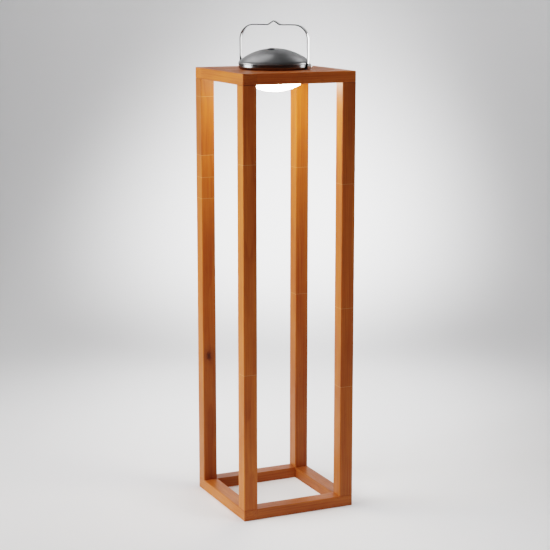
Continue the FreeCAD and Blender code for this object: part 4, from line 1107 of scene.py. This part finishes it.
@dataclass
class Studio:
    """Pale floor that curves up behind, soft lights and the camera."""

    azimuth: float = -24.558
    elevation: float = 10.968
    distance: float = 3.31258
    aim_right: float = 0.001504
    aim_up: float = 0.487553
    focal: float = 1568.733
    width_px: float = 550.0
    sensor: float = 36.0
    floor_start: float = -8.0
    floor_end: float = 1.25
    sweep_radius: float = 1.1
    wall_top: float = 7.0
    half_width: float = 16.0
    sky: Triple = (0.95, 0.97, 1.0)
    sky_light: float = 0.03
    sky_seen: float = 0.75

    def camera(self) -> None:
        """Sets the camera from its angles, distance and focal length in pixels."""
        az, el = math.radians(self.azimuth), math.radians(self.elevation)
        forward = Vector((-math.sin(az) * math.cos(el), math.cos(az) * math.cos(el), -math.sin(el)))
        right = Vector((math.cos(az), math.sin(az), 0.0))
        place = right * self.aim_right + Vector((0.0, 0.0, self.aim_up)) - forward * self.distance
        up = right.cross(forward)
        data = bpy.data.cameras.new("Camera")
        data.sensor_width = self.sensor
        data.lens = self.focal / self.width_px * self.sensor
        data.clip_end = 30.0
        camera = bpy.data.objects.new("Camera", data)
        camera.matrix_world = Matrix.Translation(place) @ Matrix((right, up, -forward)).transposed().to_4x4()
        bpy.context.scene.collection.objects.link(camera)
        bpy.context.scene.camera = camera

    def backdrop(self) -> None:
        """A paper floor that rolls up into a wall: a straight run, a quarter circle and a rise.

        Its back can be seen through, so that the lamp shows from behind.
        """
        az = math.radians(self.azimuth)
        forward = np.array([-math.sin(az), math.cos(az)])
        right = np.array([math.cos(az), math.sin(az)])
        bend, radius = self.floor_end, self.sweep_radius
        angle = np.linspace(0.0, np.pi / 2, 25)[1:]
        run = np.linspace(self.floor_start, bend, 12)
        depth = np.concatenate([run, bend + radius * np.sin(angle), [bend + radius]])
        height = np.concatenate([np.zeros_like(run), radius * (1.0 - np.cos(angle)), [self.wall_top]])
        across = np.array([-self.half_width, self.half_width])
        flat = depth[:, None, None] * forward + across[None, :, None] * right
        points = np.concatenate([flat, np.broadcast_to(height[:, None, None], flat.shape[:2] + (1,))], -1)
        corner = np.arange(len(depth) - 1) * 2
        faces = np.stack([corner, corner + 1, corner + 3, corner + 2], -1)
        mesh = bpy.data.meshes.new("Backdrop")
        mesh.from_pydata(points.reshape(-1, 3).tolist(), [], faces.tolist())
        mesh.shade_smooth()
        sheet = bpy.data.objects.new("Backdrop", mesh)
        bpy.context.scene.collection.objects.link(sheet)
        material, tree, shader = new_material("Backdrop paper")
        tree.feed(shader, {"Base Color": (0.88, 0.88, 0.89, 1.0), "Roughness": 0.75})
        behind = tree.add("NewGeometry").outputs["Backfacing"]
        air = tree.add("BsdfTransparent").outputs[0]
        either = tree.add("MixShader", {0: behind, 1: shader.outputs[0], 2: air})
        tree.feed(material.node_tree.nodes["Material Output"], {"Surface": either.outputs[0]})
        mesh.materials.append(material)

    def world(self) -> None:
        """An even sky that lights dimly and looks pale to the camera, and the film's tone curve."""
        world = bpy.data.worlds.new("Studio")
        world.use_nodes = True
        tree = Tree(world.node_tree)
        seen = tree.add("LightPath").outputs["Is Camera Ray"]
        strength = tree.add("MapRange", {"Value": seen, "To Min": self.sky_light, "To Max": self.sky_seen})
        tree.feed(world.node_tree.nodes["Background"], {0: (*self.sky, 1.0), 1: strength.outputs[0]})
        bpy.context.scene.world = world
        bpy.context.scene.view_settings.view_transform = "Filmic"
        bpy.context.scene.view_settings.look = "Medium High Contrast"

    def build(self) -> None:
        """Sets up the whole studio."""
        self.backdrop()
        for light in LIGHTS:
            light.hang()
        self.world()
        self.camera()


def main() -> None:
    """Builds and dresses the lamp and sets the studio."""
    logging.basicConfig(level=logging.INFO, format="%(name)s: %(message)s")
    WoodenFrame().dress()
    LampHead().build()
    Studio().build()


if __name__ == "__main__":
    main()
